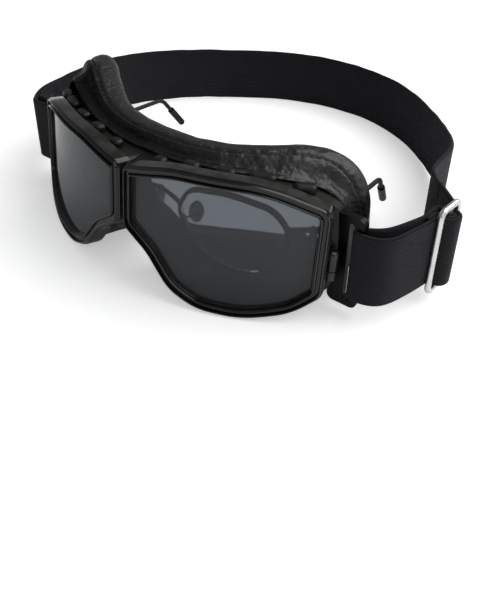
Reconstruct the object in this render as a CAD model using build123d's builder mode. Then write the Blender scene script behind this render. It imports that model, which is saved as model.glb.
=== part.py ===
"""Aviator flying goggles with a leather face cushion, webbing strap and inner spectacle frame.

Frame: +Z up, the front of the goggles faces -Y, +X is the wearer's left. The goggles stand on
z = 0, and the origin lies below the middle of the whole, strap included.
Every size is in millimetres.
"""

from build123d import *
import math
import os

os.makedirs("parts", exist_ok=True)

# Whole object
overall_depth = 202.4  # from the front of the rims to the back of the strap loop
front_reach = 0.6  # from the bridge line back to the foremost point of the rims
front_y = -front_reach - overall_depth / 2
overrun = 30.0  # how far cutting and trimming bodies pass the piece they trim

# Lens panels: each is a bent sheet that turns away from the bridge
lens_width = 83.6
lens_height = 60.7
lens_radius = 128.0
lens_thickness = 2.0
panel_turn = 21.0  # degrees, heading of a panel at its middle
lean_back = 5.3  # degrees
bridge_half_gap = 0.4

# Corners of a panel as shares of its width and height, from the inner top corner clockwise,
# each with its corner radius as a share of the height
panel_corner_shares = [
    (0.000, 0.915, 0.066),
    (0.265, 1.005, 0.900),
    (0.715, 1.020, 1.000),
    (1.000, 0.875, 0.115),
    (1.010, 0.285, 0.150),
    (0.790, 0.034, 0.360),
    (0.370, 0.017, 0.250),
    (0.180, 0.292, 0.400),
    (0.000, 0.490, 0.110),
]

# Rims: a channel ring round each lens with two raised beads
rim_wall = 1.8
rim_lip = 4.8
rim_lip_thickness = 1.2
rim_depth = 4.2
rim_split = 0.15  # how far each rim stays from the middle of the goggles
shoulder_depth = 0.8
bead_width = 1.2
bead_height = 1.1
bead_edge = 0.5
lens_fit = 0.1
gasket_width = 2.6
gasket_thickness = 1.3

# Rim locks: a split barrel on the outer side of each rim, drawn together by a screw
lock_radius = 2.1
lock_height = 12.0
lock_height_share = 0.46
lock_out_share = 0.75
screw_radius = 0.9
screw_head_radius = 1.6
screw_head_height = 1.1
pin_fit = 0.05

# Eyecups: moulded walls from the rims back to the cushion
cup_wall = 1.9
cup_depth = 66.0
cup_margin = 0.6  # how far a cup's wall lies inside the rim's edge

# Rear corners of a cup, in the plane that lies cup_depth behind the bridge, as shares of the
# cushion's half width and height. They follow the panel's corners one by one.
cup_corner_shares = [
    (-0.27, 0.82, 0.066),
    (0.30, 0.70, 0.500),
    (0.83, 0.76, 0.300),
    (0.985, 0.72, 0.115),
    (1.010, 0.225, 0.150),
    (0.845, 0.045, 0.300),
    (0.360, 0.045, 0.150),
    (0.000, -0.020, 0.100),
    (-0.27, 0.080, 0.060),
]

# Face cushion: a padded ring. Stations run from the middle outwards: distance from the middle,
# depth and height of the upper arm, depth and height of the lower arm
cushion_half_width = 74.5
cushion_height = 62.4
cushion_thickness = 12.6
cushion_depth_span = 61.0
cushion_grip = 1.5  # how far short of the cushion's middle the cups end
cushion_station_shares = [
    (0.000, 0.462, 0.868, 0.345, 0.420),
    (0.114, 0.467, 0.869, 0.450, 0.240),
    (0.268, 0.490, 0.874, 0.635, 0.150),
    (0.423, 0.545, 0.880, 0.770, 0.118),
    (0.617, 0.685, 0.890, 0.893, 0.105),
    (0.779, 0.836, 0.880, 0.972, 0.106),
    (0.886, 0.918, 0.835, 0.997, 0.138),
    (0.964, 0.951, 0.725, 1.000, 0.232),
]
cushion_side_share = (0.967, 0.481)  # depth and height where the ring is widest
cushion_sections = 28
nose_slim_share = 0.40  # how much thinner the ring is over the nose
nose_slim_start = 0.62  # share of the way round where it starts to thin
notch_bite_share = 0.20  # how much thinner it is where a temple passes
notch_half_height = 7.0
crown_rise_share = 0.10
section_bulge = 1.03
seam_out_share = 0.90
seam_front_share = 0.80
crown_corner_share = 0.70

# Bridge block between the cups
block_half_width = 6.5
block_front = 10.5
block_back = 15.0
block_bottom = 29.5
block_top = 50.5
rib_count = 5
rib_depth = 1.0

# Vent hoods along the upper wall of each cup: heading on the lens curve, and length
hood_places = [
    (7.6, 5.6),
    (14.2, 6.8),
    (20.8, 7.8),
    (27.5, 10.2),
    (35.0, 8.8),
]
hood_depth = 5.0
hood_setback = 0.8  # from the back of the rim
hood_rise = 2.9  # how far a hood stands above the wall
hood_root = 4.0  # how far its sides reach down to meet the sloping wall
hood_seat = 0.2  # gap between a hood's foot and the wall
hood_round = 1.9
hood_edge = 1.0
hood_slot_width_share = 0.55
hood_slot_height = 0.9
hood_slot_depth = 2.0
hood_slot_drop = 1.4  # below the top of the hood

# Webbing
webbing_width = 32.0
webbing_thickness = 1.8
webbing_gap = 0.1

# Strap lugs: plates that stand out from the cups, with a slot for the webbing
lug_root = 75.6
lug_slot_inner = 82.6
lug_slot_width = 3.6
lug_bar_width = 2.6
lug_front = 39.4
lug_thickness = 3.0
lug_corner = 3.0
lug_slot_room = 2.2  # between the webbing and each end of the slot
lug_end = 2.8  # from the end of the slot to the end of the plate

# Slider: a wire ladder of three bars that shortens the strap
slider_centre = (108.0, 71.5)
slider_heading = 84.0  # degrees from +X, the way the strap runs there
slider_pitch = 6.5
slider_wire = 2.6
slider_bar_wire = 2.2
slider_room = 2.0
strap_height = 25.6  # middle of the webbing at the lugs and the slider
strap_rest_height = webbing_width / 2  # middle of the webbing where it stands on the table

# Routes of the webbing in plan, measured from the bridge line. Behind the slider they are shares
# of the loop's half width and of the overall depth.
loop_half_width = 111.2
loop_front_turn = (97.5, 2.2)  # beyond the lug, out and back
loop_rear_turn = 93.0
strap_inward_turn = (87.5, 99.5)
fold_tail = 8.5
split_share = 0.5
strap_back_shares = [
    (0.777, 0.583),
    (0.766, 0.667),
    (0.643, 0.773),
    (0.463, 0.883),
    (0.306, 0.945),
    (0.139, 0.985),
    (-0.049, 1.001),
    (-0.225, 0.993),
    (-0.414, 0.962),
    (-0.607, 0.902),
    (-0.778, 0.825),
    (-0.910, 0.714),
    (-0.988, 0.600),
    (-1.000, 0.474),
    (-0.991, 0.356),
]
strap_outer_turn = (-107.8, 50.0)
strap_lug_turn = -99.0
flap_points = [(-100.4, 43.4), (-105.97, 50.72), (-107.1, 62.0)]
easy_turn_share = 0.45  # part of an edge that a wide corner may take
weave_share = 0.95
tight_turn = 1.6
small_turn = 6.0
wide_turn = 12.0
strap_level_until = 92.0
strap_level_again = 172.0
level_turn = 150.0

# Inner spectacle frame
spectacle_centre = (36.1, 28.3, 24.9)
spectacle_yaw = 10.5  # degrees
spectacle_tilt = 3.9  # degrees
spectacle_half_width = 26.0
spectacle_half_height = 19.6
spectacle_rim_width = 1.5
spectacle_rim_depth = 2.2
spectacle_lens_thickness = 1.6
spectacle_corner_shares = [
    (-0.97, 0.30, 0.50),
    (-0.74, 0.90, 0.55),
    (0.00, 1.03, 2.20),
    (0.74, 0.95, 0.60),
    (1.00, 0.50, 0.60),
    (0.93, -0.32, 1.20),
    (0.50, -0.93, 0.90),
    (-0.15, -1.04, 1.30),
    (-0.70, -0.66, 0.80),
]
bridge_wire = 1.9
bridge_rise = 3.4
bridge_end_share = (-0.905, 0.40)
endpiece_start_share = (0.93, 0.43)
endpiece_thickness = 1.8
hinge_place = (38.6, 33.0)  # depth and height of a temple hinge
hinge_radius = 1.5
knuckle_height = 1.7
knuckle_gap = 0.12
fold_room = 3.1  # radius that a folding temple sweeps beside its knuckle
hinge_screw_radius = 0.55
hinge_screw_head_radius = 1.1
hinge_screw_head_height = 0.5

# Temples: wire arms with a hooked tip under a sleeve
temple_wire = 2.2
seat_gap = 0.9  # between a temple and its notch
temple_bend = (66.4, 97.5, 29.0)
temple_tip = (63.6, 110.5, 10.5)
temple_bend_radius = 7.0
sleeve_wire = 3.6
sleeve_start_share = 0.42
sleeve_fit = 0.03

# Nose pads
pad_place = (10.6, 36.4, 20.8)
pad_height = 10.6
pad_width = 6.8
pad_thickness = 2.2
pad_round = 0.8
pad_turn = 28.0  # degrees, how far the pads open towards the face
pad_arm_wire = 0.9
pad_arm_start_share = (-0.865, 0.02)
pad_arm_bow = (2.4, 2.0)  # how far the arm bows outwards and up before the pad
pad_stand = 2.2  # from the middle of a pad to its pivot
eye_radius = 1.0
eye_length = 0.9
eye_gap = 0.05
arm_seat_share = 0.75
pad_screw_radius = 0.4
pad_screw_head_radius = 0.75
pad_screw_head_height = 0.35


def saved(piece, name):
    """Name a finished piece and write it to its own file."""
    piece.part.label = name
    export_step(piece.part, f"parts/{name}.step")


def save_pair(piece, name):
    """Write the piece of the wearer's left and its mirror image on the right."""
    saved(piece, f"left_{name}")
    with BuildPart() as twin:
        mirror(piece.part, about=Plane.YZ)
    saved(twin, f"right_{name}")
    return twin


def scaled_corners(shares, width, height):
    """Corner points and radii from rows of shares."""
    points = [(across * width, up * height) for across, up, _ in shares]
    radii = [radius * height for _, _, radius in shares]
    return points, radii


def inset_corners(points, radii, inset):
    """Move every edge of a clockwise outline inwards, keeping one corner for each corner."""
    moved = []
    for index, corner in enumerate(points):
        before = Vector(*points[index - 1])
        here = Vector(*corner)
        after = Vector(*points[(index + 1) % len(points)])
        first = (here - before).normalized()
        second = (after - here).normalized()
        half_turn = math.radians(first.get_angle(second)) / 2
        bisector = (Vector(first.Y, -first.X) + Vector(second.Y, -second.X)).normalized()
        shifted = here + bisector * (inset / math.cos(half_turn))
        moved.append((shifted.X, shifted.Y))
    smallest = cup_wall / 2
    turned = []
    for index, radius in enumerate(radii):
        before = Vector(*points[index - 1])
        here = Vector(*points[index])
        after = Vector(*points[(index + 1) % len(points)])
        hollow = (here - before).cross(after - here).Z > 0
        turned.append(radius + inset if hollow else max(radius - inset, smallest))
    return moved, turned


def outline(shares, width, height, inset=0.0, shift=0.0):
    """A flat face with rounded corners, to be added to a sketch."""
    points, radii = scaled_corners(shares, width, height)
    points, radii = inset_corners(points, radii, inset)
    placed = [(across + shift, up) for across, up in points]
    with BuildSketch() as drawn:
        with BuildLine():
            FilletPolyline(*placed, radius=radii, close=True)
        make_face()
    return drawn.sketch


# Planes of the left lens panel
lean = math.radians(lean_back)
lean_frame = Plane((0, front_y, 0), x_dir=(1, 0, 0), z_dir=(0, math.sin(lean), math.cos(lean)))
half_sweep = math.degrees(math.asin(lens_width / 2 / lens_radius))
sagitta = lens_radius * (1 - math.cos(math.radians(half_sweep)))
start_heading = math.radians(panel_turn - half_sweep)
middle_heading = math.radians(panel_turn)
curve_centre = (
    bridge_half_gap - lens_radius * math.sin(start_heading),
    lens_radius * math.cos(start_heading),
)
panel_middle = (
    curve_centre[0] + lens_radius * math.sin(middle_heading),
    curve_centre[1] - lens_radius * math.cos(middle_heading),
)


def leaning(across, back, up=0.0):
    """A direction given in the leaning frame, as a vector of the whole."""
    return lean_frame.x_dir * across + lean_frame.y_dir * back + lean_frame.z_dir * up


panel_plane = Plane(
    lean_frame.origin + leaning(*panel_middle),
    x_dir=leaning(math.cos(middle_heading), math.sin(middle_heading)),
    z_dir=leaning(math.sin(middle_heading), -math.cos(middle_heading)),
)


def panel_outline(inset):
    """The outline of a lens panel, drawn about its middle."""
    return outline(panel_corner_shares, lens_width, lens_height, inset, -lens_width / 2)


def curved_panel(outer_inset, inner_inset, near, far):
    """A bent sheet or ring of the panel's outline, between two distances from the lens face."""
    with BuildPart() as sheet:
        with BuildSketch(panel_plane.offset(-overrun)):
            add(panel_outline(outer_inset))
            if inner_inset:
                add(panel_outline(inner_inset), mode=Mode.SUBTRACT)
        extrude(amount=2 * overrun)
        with BuildSketch(lean_frame.offset(-overrun)):
            with Locations(curve_centre):
                Circle(lens_radius + far)
                Circle(lens_radius + near, mode=Mode.SUBTRACT)
        extrude(amount=lens_height + 2 * overrun, mode=Mode.INTERSECT)
    return sheet.part


# Space on the left of the middle
with BuildPart() as outer_side:
    with BuildSketch(Plane.YZ.offset(rim_split)):
        Rectangle(4 * overall_depth, 4 * overall_depth)
    extrude(amount=overall_depth)

# Lenses, gaskets and rims
with BuildPart() as lens:
    add(curved_panel(rim_wall + lens_fit, None, -lens_thickness, 0))
save_pair(lens, "lens")

gasket_front = -lens_thickness - lens_fit / 2
with BuildPart() as gasket:
    add(
        curved_panel(
            rim_wall + lens_fit,
            rim_wall + lens_fit + gasket_width,
            gasket_front - gasket_thickness,
            gasket_front,
        )
    )
    add(outer_side.part, mode=Mode.INTERSECT)
save_pair(gasket, "lens_gasket")

lip_face = lens_fit / 2
bead_face = lip_face + rim_lip_thickness
with BuildPart() as rim:
    add(curved_panel(0, rim_wall, -rim_depth, bead_face))
    add(curved_panel(0, rim_lip, lip_face, bead_face))
    add(curved_panel(bead_edge, bead_edge + bead_width, bead_face, bead_face + bead_height))
    add(curved_panel(rim_lip - bead_edge - bead_width, rim_lip - bead_edge, bead_face, bead_face + bead_height))
    add(outer_side.part, mode=Mode.INTERSECT)

lock_out = lens_width / 2 + lock_radius * lock_out_share
lock_plane = Plane(
    panel_plane.from_local_coords((lock_out, lens_height * lock_height_share, -sagitta - rim_depth / 2)),
    x_dir=panel_plane.x_dir,
    z_dir=panel_plane.y_dir,
)

with BuildPart() as rim_lock:
    with BuildSketch(lock_plane.offset(-lock_height / 2)):
        Circle(lock_radius)
        Circle(screw_radius + pin_fit, mode=Mode.SUBTRACT)
    extrude(amount=lock_height)
    chamfer(rim_lock.edges().filter_by(GeomType.CIRCLE).group_by(SortBy.RADIUS)[-1], screw_head_height / 4)
    with BuildSketch(lock_plane.offset(-lock_height / 2 + lock_height / 3)):
        Circle(lock_radius)
        Circle(lock_radius - screw_head_height / 4, mode=Mode.SUBTRACT)
    extrude(amount=screw_head_height / 2, mode=Mode.SUBTRACT)
save_pair(rim_lock, "rim_lock")

with BuildPart() as rim_screw:
    with BuildSketch(lock_plane.offset(-lock_height / 2)):
        Circle(screw_radius)
    extrude(amount=lock_height)
    with BuildSketch(lock_plane.offset(lock_height / 2)):
        Circle(screw_head_radius)
    extrude(amount=screw_head_height)
    with BuildSketch(lock_plane.offset(lock_height / 2 + screw_head_height)):
        Rectangle(screw_head_radius * 2, screw_head_height / 2)
    extrude(amount=-screw_head_height / 2, mode=Mode.SUBTRACT)
save_pair(rim_screw, "rim_screw")

with BuildPart() as left_rim:
    add(rim.part)
    with BuildSketch(lock_plane.offset(-lock_height / 2 - pin_fit)):
        Circle(lock_radius + pin_fit)
    extrude(amount=lock_height + 2 * pin_fit, mode=Mode.SUBTRACT)
    with BuildSketch(lock_plane.offset(lock_height / 2)):
        Circle(screw_head_radius + pin_fit)
    extrude(amount=screw_head_height + pin_fit, mode=Mode.SUBTRACT)
save_pair(left_rim, "rim")


# Ring of the face cushion
def cushion_point(across_share, depth_share, height_share):
    """A point of the cushion's middle line."""
    return Vector(
        across_share * cushion_half_width,
        front_y + depth_share * cushion_depth_span,
        height_share * cushion_height,
    )


upper_points = [cushion_point(x, upper, top) for x, upper, top, _, _ in cushion_station_shares]
lower_points = [cushion_point(x, lower, low) for x, _, _, lower, low in cushion_station_shares]
side_point = cushion_point(1, *cushion_side_share)
with BuildLine() as cushion_route:
    Spline(
        *upper_points,
        side_point,
        *reversed(lower_points),
        tangents=[(1, 0, 0), (-1, 0, 0)],
    )
cushion_line = cushion_route.edge()


def cushion_outline(share_along):
    """The rounded section of the cushion at a share of the way from the forehead to the nose."""
    place = cushion_line @ share_along
    along = cushion_line % share_along
    if share_along in (0, 1):
        along = Vector(1 if share_along == 0 else -1, 0, 0)
    front = (Vector(0, -1, 0) + along * along.Y).normalized()
    outward = front.cross(along)
    slim = 1 - nose_slim_share * max(0, share_along - nose_slim_start) / (1 - nose_slim_start)
    half = cushion_thickness / 2 * slim
    beside_temple = (place.Z - hinge_place[1]) / notch_half_height
    bite = notch_bite_share * math.exp(-beside_temple * beside_temple) * (place.X > cushion_half_width / 2)
    inner = half * (1 - bite)
    crown = half * (1 + crown_rise_share) * (1 - 2 * bite)
    with BuildSketch(Plane(place, x_dir=outward, z_dir=along)) as section:
        outer_seam = (half * seam_out_share, half * seam_front_share)
        outer_crown = (half * crown_corner_share, -crown * crown_corner_share)
        inner_crown = (-inner * crown_corner_share, -crown * crown_corner_share)
        inner_seam = (-inner * seam_out_share, half * seam_front_share)
        with BuildLine():
            ThreePointArc(outer_seam, (half * section_bulge, 0), outer_crown)
            ThreePointArc(outer_crown, (0, -crown), inner_crown)
            ThreePointArc(inner_crown, (-inner * section_bulge, 0), inner_seam)
            Line(inner_seam, outer_seam)
        make_face()
    return section.sketch


with BuildPart() as cushion_half:
    loft([cushion_outline(step / cushion_sections) for step in range(cushion_sections + 1)], ruled=True)

# Space of the face behind the cups, from the cushion's middle line
with BuildPart() as face_space:
    behind = front_y + overall_depth
    for upper, lower in [*zip(upper_points, lower_points), (side_point, side_point)]:
        rise = max(upper.Z - lower.Z, cup_wall) / 2
        middle = (upper.Z + lower.Z) / 2
        with BuildSketch(Plane.YZ.offset(upper.X)):
            Polygon(
                (upper.Y - cushion_grip, cushion_height + overrun),
                (upper.Y - cushion_grip, middle + rise),
                (lower.Y - cushion_grip, middle - rise),
                (lower.Y - cushion_grip, -overrun),
                (behind, -overrun),
                (behind, cushion_height + overrun),
                align=None,
            )
    loft(ruled=True)
    with BuildSketch(Plane.YZ.offset(side_point.X)):
        Polygon(
            (side_point.Y - cushion_grip, cushion_height + overrun),
            (side_point.Y - cushion_grip, -overrun),
            (behind, -overrun),
            (behind, cushion_height + overrun),
            align=None,
        )
    extrude(amount=overrun)

# Bridge block with ribs on its rear face
block_width = 2 * block_half_width
with BuildPart() as bridge_block:
    with BuildSketch(Plane.XY.offset(block_bottom)):
        with Locations((0, front_y + (block_front + block_back) / 2)):
            Rectangle(block_width, block_back - block_front)
    extrude(amount=block_top - block_bottom)
    with BuildSketch(Plane.XY.offset(block_bottom)):
        with Locations((0, front_y + block_back)):
            with GridLocations(block_width / rib_count, 0, rib_count + 1, 1):
                Rectangle(block_width / rib_count / 2, 2 * rib_depth)
    extrude(amount=block_top - block_bottom, mode=Mode.SUBTRACT)
saved(bridge_block, "bridge_block")

# Strap lug
lug_tip = lug_slot_inner + lug_slot_width + lug_bar_width
slot_height = webbing_width + 2 * lug_slot_room
with BuildPart() as strap_lug:
    plate_plane = Plane((0, front_y + lug_front, 0), x_dir=(1, 0, 0), z_dir=(0, -1, 0))
    with BuildSketch(plate_plane):
        with Locations(((lug_root + lug_tip) / 2, strap_height)):
            RectangleRounded(lug_tip - lug_root, slot_height + 2 * lug_end, lug_corner)
        with Locations((lug_slot_inner + lug_slot_width / 2, strap_height)):
            RectangleRounded(lug_slot_width, slot_height, lug_slot_width / 3, mode=Mode.SUBTRACT)
    extrude(amount=-lug_thickness)
save_pair(strap_lug, "strap_lug")


# Eyecups
cup_front = gasket_front - gasket_thickness - lens_fit / 2
rear_plane = Plane((0, front_y + cup_depth, 0), x_dir=(1, 0, 0), z_dir=(0, -1, 0))
front_plane = panel_plane.offset(rim_wall)
neck_inset = rim_wall + lens_fit
neck_void_inset = neck_inset + cup_wall
shoulder_front = -rim_depth - lens_fit
shoulder_back = shoulder_front - shoulder_depth


def cup_body(inset, front):
    """The space inside a cup's walls at a given inset, from a given depth behind the lens."""
    with BuildPart() as body:
        with BuildSketch(front_plane):
            add(panel_outline(cup_margin + inset))
        with BuildSketch(rear_plane):
            add(outline(cup_corner_shares, cushion_half_width, cushion_height, inset))
        loft(ruled=True)
        with BuildSketch(lean_frame.offset(-overrun)):
            with Locations(curve_centre):
                Circle(lens_radius + front)
        extrude(amount=cushion_height + 2 * overrun, mode=Mode.INTERSECT)
    return body.part


cup_outside = cup_body(0, shoulder_front)
with BuildPart() as cup:
    add(cup_outside)
    add(curved_panel(neck_inset, None, shoulder_back, cup_front))
    add(cup_body(cup_wall, shoulder_back), mode=Mode.SUBTRACT)
    add(curved_panel(neck_void_inset, None, shoulder_back - lens_fit, 0), mode=Mode.SUBTRACT)
    add(outer_side.part, mode=Mode.INTERSECT)
    add(face_space.part, mode=Mode.SUBTRACT)
    add(bridge_block.part, mode=Mode.SUBTRACT)
    add(strap_lug.part, mode=Mode.SUBTRACT)
right_cup = save_pair(cup, "eyecup")


# Vent hoods
def hood_plane(heading):
    """A plane on top of a hood, turned with the rim in front of it."""
    turn = math.radians(heading)
    reach = lens_radius - rim_depth - hood_setback - hood_depth / 2
    foot = lean_frame.from_local_coords(
        (curve_centre[0] + reach * math.sin(turn), curve_centre[1] - reach * math.cos(turn), 0)
    )
    wall = cup_outside.find_intersection_points(Axis(foot, lean_frame.z_dir))
    top = max((point for point, _ in wall), key=lambda point: point.Z)
    place = top + lean_frame.z_dir * hood_rise
    return Plane(place, x_dir=leaning(math.cos(turn), math.sin(turn)), z_dir=lean_frame.z_dir)


with BuildPart() as vent_hoods:
    for heading, length in hood_places:
        top = hood_plane(heading)
        with BuildSketch(top.offset(-hood_rise - hood_root)):
            RectangleRounded(length, hood_depth, hood_round)
        extrude(amount=hood_rise + hood_root)
        top_face = vent_hoods.faces(Select.LAST).sort_by(Axis(top.origin, top.z_dir))[-1]
        chamfer(top_face.edges(), hood_edge)
        slot = Plane(
            top.origin - top.z_dir * hood_slot_drop + top.y_dir * hood_depth / 2,
            x_dir=top.x_dir,
            z_dir=top.y_dir,
        )
        with BuildSketch(slot):
            Rectangle(length * hood_slot_width_share, hood_slot_height)
        extrude(amount=-hood_slot_depth, mode=Mode.SUBTRACT)
    add(cup_body(-hood_seat, shoulder_front), mode=Mode.SUBTRACT)
save_pair(vent_hoods, "vent_hoods")

with BuildPart() as face_cushion:
    add(cushion_half.part)
    mirror(cushion_half.part, about=Plane.YZ)
    add(cup.part, mode=Mode.SUBTRACT)
    add(right_cup.part, mode=Mode.SUBTRACT)
saved(face_cushion, "face_cushion")


# Slider: a wire frame, and a middle bar that the webbing is sewn round
slider_plane = Plane((slider_centre[0], front_y + slider_centre[1], 0)).rotated((0, 0, slider_heading))
slider_side = Plane(slider_plane.origin, x_dir=slider_plane.x_dir, z_dir=-slider_plane.y_dir)
rail_height = (webbing_width + slider_wire) / 2 + slider_room
with BuildPart() as slider_bar:
    with BuildSketch(slider_plane.offset(strap_height - rail_height)):
        Circle(slider_bar_wire / 2)
    extrude(amount=2 * rail_height)

with BuildPart() as slider_frame:
    with BuildLine(slider_side) as frame_line:
        FilletPolyline(
            (slider_pitch, strap_height + rail_height),
            (slider_pitch, strap_height - rail_height),
            (-slider_pitch, strap_height - rail_height),
            (-slider_pitch, strap_height + rail_height),
            radius=slider_wire,
            close=True,
        )
    with BuildSketch(Plane(frame_line.wire() @ 0, z_dir=frame_line.wire() % 0)):
        Circle(slider_wire / 2)
    sweep()
    add(slider_bar.part, mode=Mode.SUBTRACT)
saved(slider_frame, "slider_frame")
saved(slider_bar, "slider_bar")


# Webbing
def by_slider(along, outward):
    """A point given in the slider's own directions, in plan."""
    place = slider_plane.from_local_coords((along, -outward, 0))
    return (place.X, place.Y)


def from_front(points):
    """Plan points measured from the bridge line."""
    return [(across, front_y + back) for across, back in points]


half_layer = webbing_thickness / 2
layer_pitch = webbing_thickness + webbing_gap
under_bar = slider_wire / 2 + webbing_gap + half_layer
fold_out = slider_bar_wire / 2 + webbing_gap + half_layer
pillow_out = fold_out + layer_pitch
weave = slider_pitch - under_bar
tail_level = under_bar + layer_pitch
rear_level = tail_level + layer_pitch
bar_turn = half_layer + webbing_gap
in_slot = lug_slot_inner + lug_slot_width - bar_turn
before_lug = front_y + lug_front - bar_turn
behind_lug = front_y + lug_front + lug_thickness + bar_turn


def easy_radii(points):
    """The widest comfortable radius for each inner corner of a route."""
    radii = []
    for before, here, after in zip(points, points[1:], points[2:]):
        first = Vector(*here) - Vector(*before)
        second = Vector(*after) - Vector(*here)
        half_turn = math.radians(first.get_angle(second)) / 2
        radii.append(easy_turn_share * min(first.length, second.length) / math.tan(half_turn))
    return radii


slider_exit = by_slider(slider_pitch + under_bar, -under_bar)
inward_turn = (strap_inward_turn[0], front_y + strap_inward_turn[1])
split_point = (
    slider_exit[0] + (inward_turn[0] - slider_exit[0]) * split_share,
    slider_exit[1] + (inward_turn[1] - slider_exit[1]) * split_share,
)

loop_route = [
    split_point,
    slider_exit,
    by_slider(weave, -under_bar),
    by_slider(weave, pillow_out),
    by_slider(-weave, pillow_out),
    by_slider(-weave, -under_bar),
    by_slider(-slider_pitch - under_bar, -under_bar),
    (loop_front_turn[0], before_lug),
    (in_slot, before_lug),
    (in_slot, behind_lug),
    (loop_rear_turn, behind_lug),
    by_slider(-slider_pitch - under_bar, -rear_level),
    by_slider(fold_out, -rear_level),
    by_slider(fold_out, fold_out),
    by_slider(-fold_out, fold_out),
    by_slider(-fold_out, -tail_level),
    by_slider(-fold_tail, -tail_level),
]
weave_turn = under_bar * weave_share
pillow_turn = pillow_out * weave_share
fold_turn = fold_out * weave_share
loop_radii = [
    2 * weave_turn,
    weave_turn,
    pillow_turn,
    pillow_turn,
    weave_turn,
    wide_turn,
    small_turn,
    bar_turn,
    bar_turn,
    small_turn,
    wide_turn,
    tight_turn,
    fold_turn,
    fold_turn,
    tight_turn,
]
with BuildPart() as adjuster_loop:
    with BuildSketch(Plane.XY.offset(strap_height - webbing_width / 2)):
        with BuildLine() as loop_line:
            FilletPolyline(*loop_route, radius=loop_radii)
        trace(loop_line.edges(), webbing_thickness)
    extrude(amount=webbing_width)
saved(adjuster_loop, "adjuster_loop")

strap_back = [(across * loop_half_width, back * overall_depth) for across, back in strap_back_shares]
back_route = [split_point, inward_turn, *from_front(strap_back)]
lug_route = [
    *from_front([strap_outer_turn]),
    (strap_lug_turn, before_lug),
    (-in_slot, before_lug),
    (-in_slot, behind_lug),
    *from_front(flap_points),
]
back_radii = easy_radii([*back_route, lug_route[0]])
lug_radii = [wide_turn, small_turn, bar_turn, bar_turn, small_turn, wide_turn - layer_pitch]
with BuildPart() as head_strap:
    with BuildSketch():
        with BuildLine() as strap_line:
            FilletPolyline(*back_route, *lug_route, radius=[*back_radii, *lug_radii])
        trace(strap_line.edges(), webbing_thickness)
    extrude(amount=strap_height + webbing_width)
    with BuildSketch(Plane.YZ):
        with BuildLine() as side_line:
            FilletPolyline(
                (front_y, strap_height),
                (front_y + strap_level_until, strap_height),
                (front_y + strap_level_again, strap_rest_height),
                (front_y + 2 * overall_depth, strap_rest_height),
                radius=level_turn,
            )
        trace(side_line.edges(), webbing_width)
    extrude(amount=overall_depth, both=True, mode=Mode.INTERSECT)
saved(head_strap, "head_strap")

# Inner spectacle frame
spectacle_plane = Plane(
    (spectacle_centre[0], front_y + spectacle_centre[1], spectacle_centre[2]),
    x_dir=(math.cos(math.radians(spectacle_yaw)), math.sin(math.radians(spectacle_yaw)), 0),
    z_dir=(
        math.sin(math.radians(spectacle_yaw)) * math.cos(math.radians(spectacle_tilt)),
        -math.cos(math.radians(spectacle_yaw)) * math.cos(math.radians(spectacle_tilt)),
        -math.sin(math.radians(spectacle_tilt)),
    ),
)


def spectacle_outline(inset):
    """The outline of a spectacle rim about its middle."""
    points = [(across * spectacle_half_width, up * spectacle_half_height) for across, up, _ in spectacle_corner_shares]
    radii = [radius * spectacle_half_height for _, _, radius in spectacle_corner_shares]
    points, radii = inset_corners(points, radii, inset)
    with BuildSketch() as drawn:
        with BuildLine():
            FilletPolyline(*points, radius=radii, close=True)
        make_face()
    return drawn.sketch


with BuildPart() as spectacle_lens:
    with BuildSketch(spectacle_plane.offset(-spectacle_lens_thickness / 2)):
        add(spectacle_outline(spectacle_rim_width + lens_fit))
    extrude(amount=spectacle_lens_thickness)
save_pair(spectacle_lens, "spectacle_lens")


def on_spectacle(share):
    """A point in the middle plane of the left spectacle rim, from shares of its half sizes."""
    across, up = share
    return spectacle_plane.from_local_coords((across * spectacle_half_width, up * spectacle_half_height, 0))


# Temples run from the hinges through the notches of the cushion
seat_bite = cushion_thickness / 2 * section_bulge * (1 - notch_bite_share)
seat_x = side_point.X - seat_bite - seat_gap - temple_wire / 2
bend_point = Vector(temple_bend[0], front_y + temple_bend[1], temple_bend[2])
tip_point = Vector(temple_tip[0], front_y + temple_tip[1], temple_tip[2])
hinge_y = front_y + hinge_place[0]
hinge_share = (hinge_y - side_point.Y) / (bend_point.Y - side_point.Y)
hinge_point = Vector(seat_x + (bend_point.X - seat_x) * hinge_share, hinge_y, hinge_place[1])
knuckle_pitch = knuckle_height + knuckle_gap
hinge_top = hinge_point.Z + knuckle_pitch + knuckle_height / 2


def on_hinge(height):
    """A level plane on the axis of the left temple hinge."""
    return Plane((hinge_point.X, hinge_point.Y, height))


with BuildPart() as temple:
    with BuildLine():
        FilletPolyline(hinge_point, bend_point, tip_point, radius=temple_bend_radius)
    with BuildSketch(Plane(hinge_point, z_dir=bend_point - hinge_point)):
        Circle(temple_wire / 2)
    sweep()
    for side in (-1, 1):
        with BuildSketch(on_hinge(hinge_point.Z + side * (knuckle_height / 2))):
            Circle(hinge_radius + 2 * knuckle_gap)
        extrude(amount=side * knuckle_pitch, mode=Mode.SUBTRACT)
    with BuildSketch(on_hinge(hinge_point.Z - knuckle_height / 2)):
        Circle(hinge_radius)
    extrude(amount=knuckle_height)
    with BuildSketch(on_hinge(hinge_point.Z - knuckle_pitch)):
        Circle(hinge_screw_radius + pin_fit)
    extrude(amount=2 * knuckle_pitch, mode=Mode.SUBTRACT)

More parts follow.
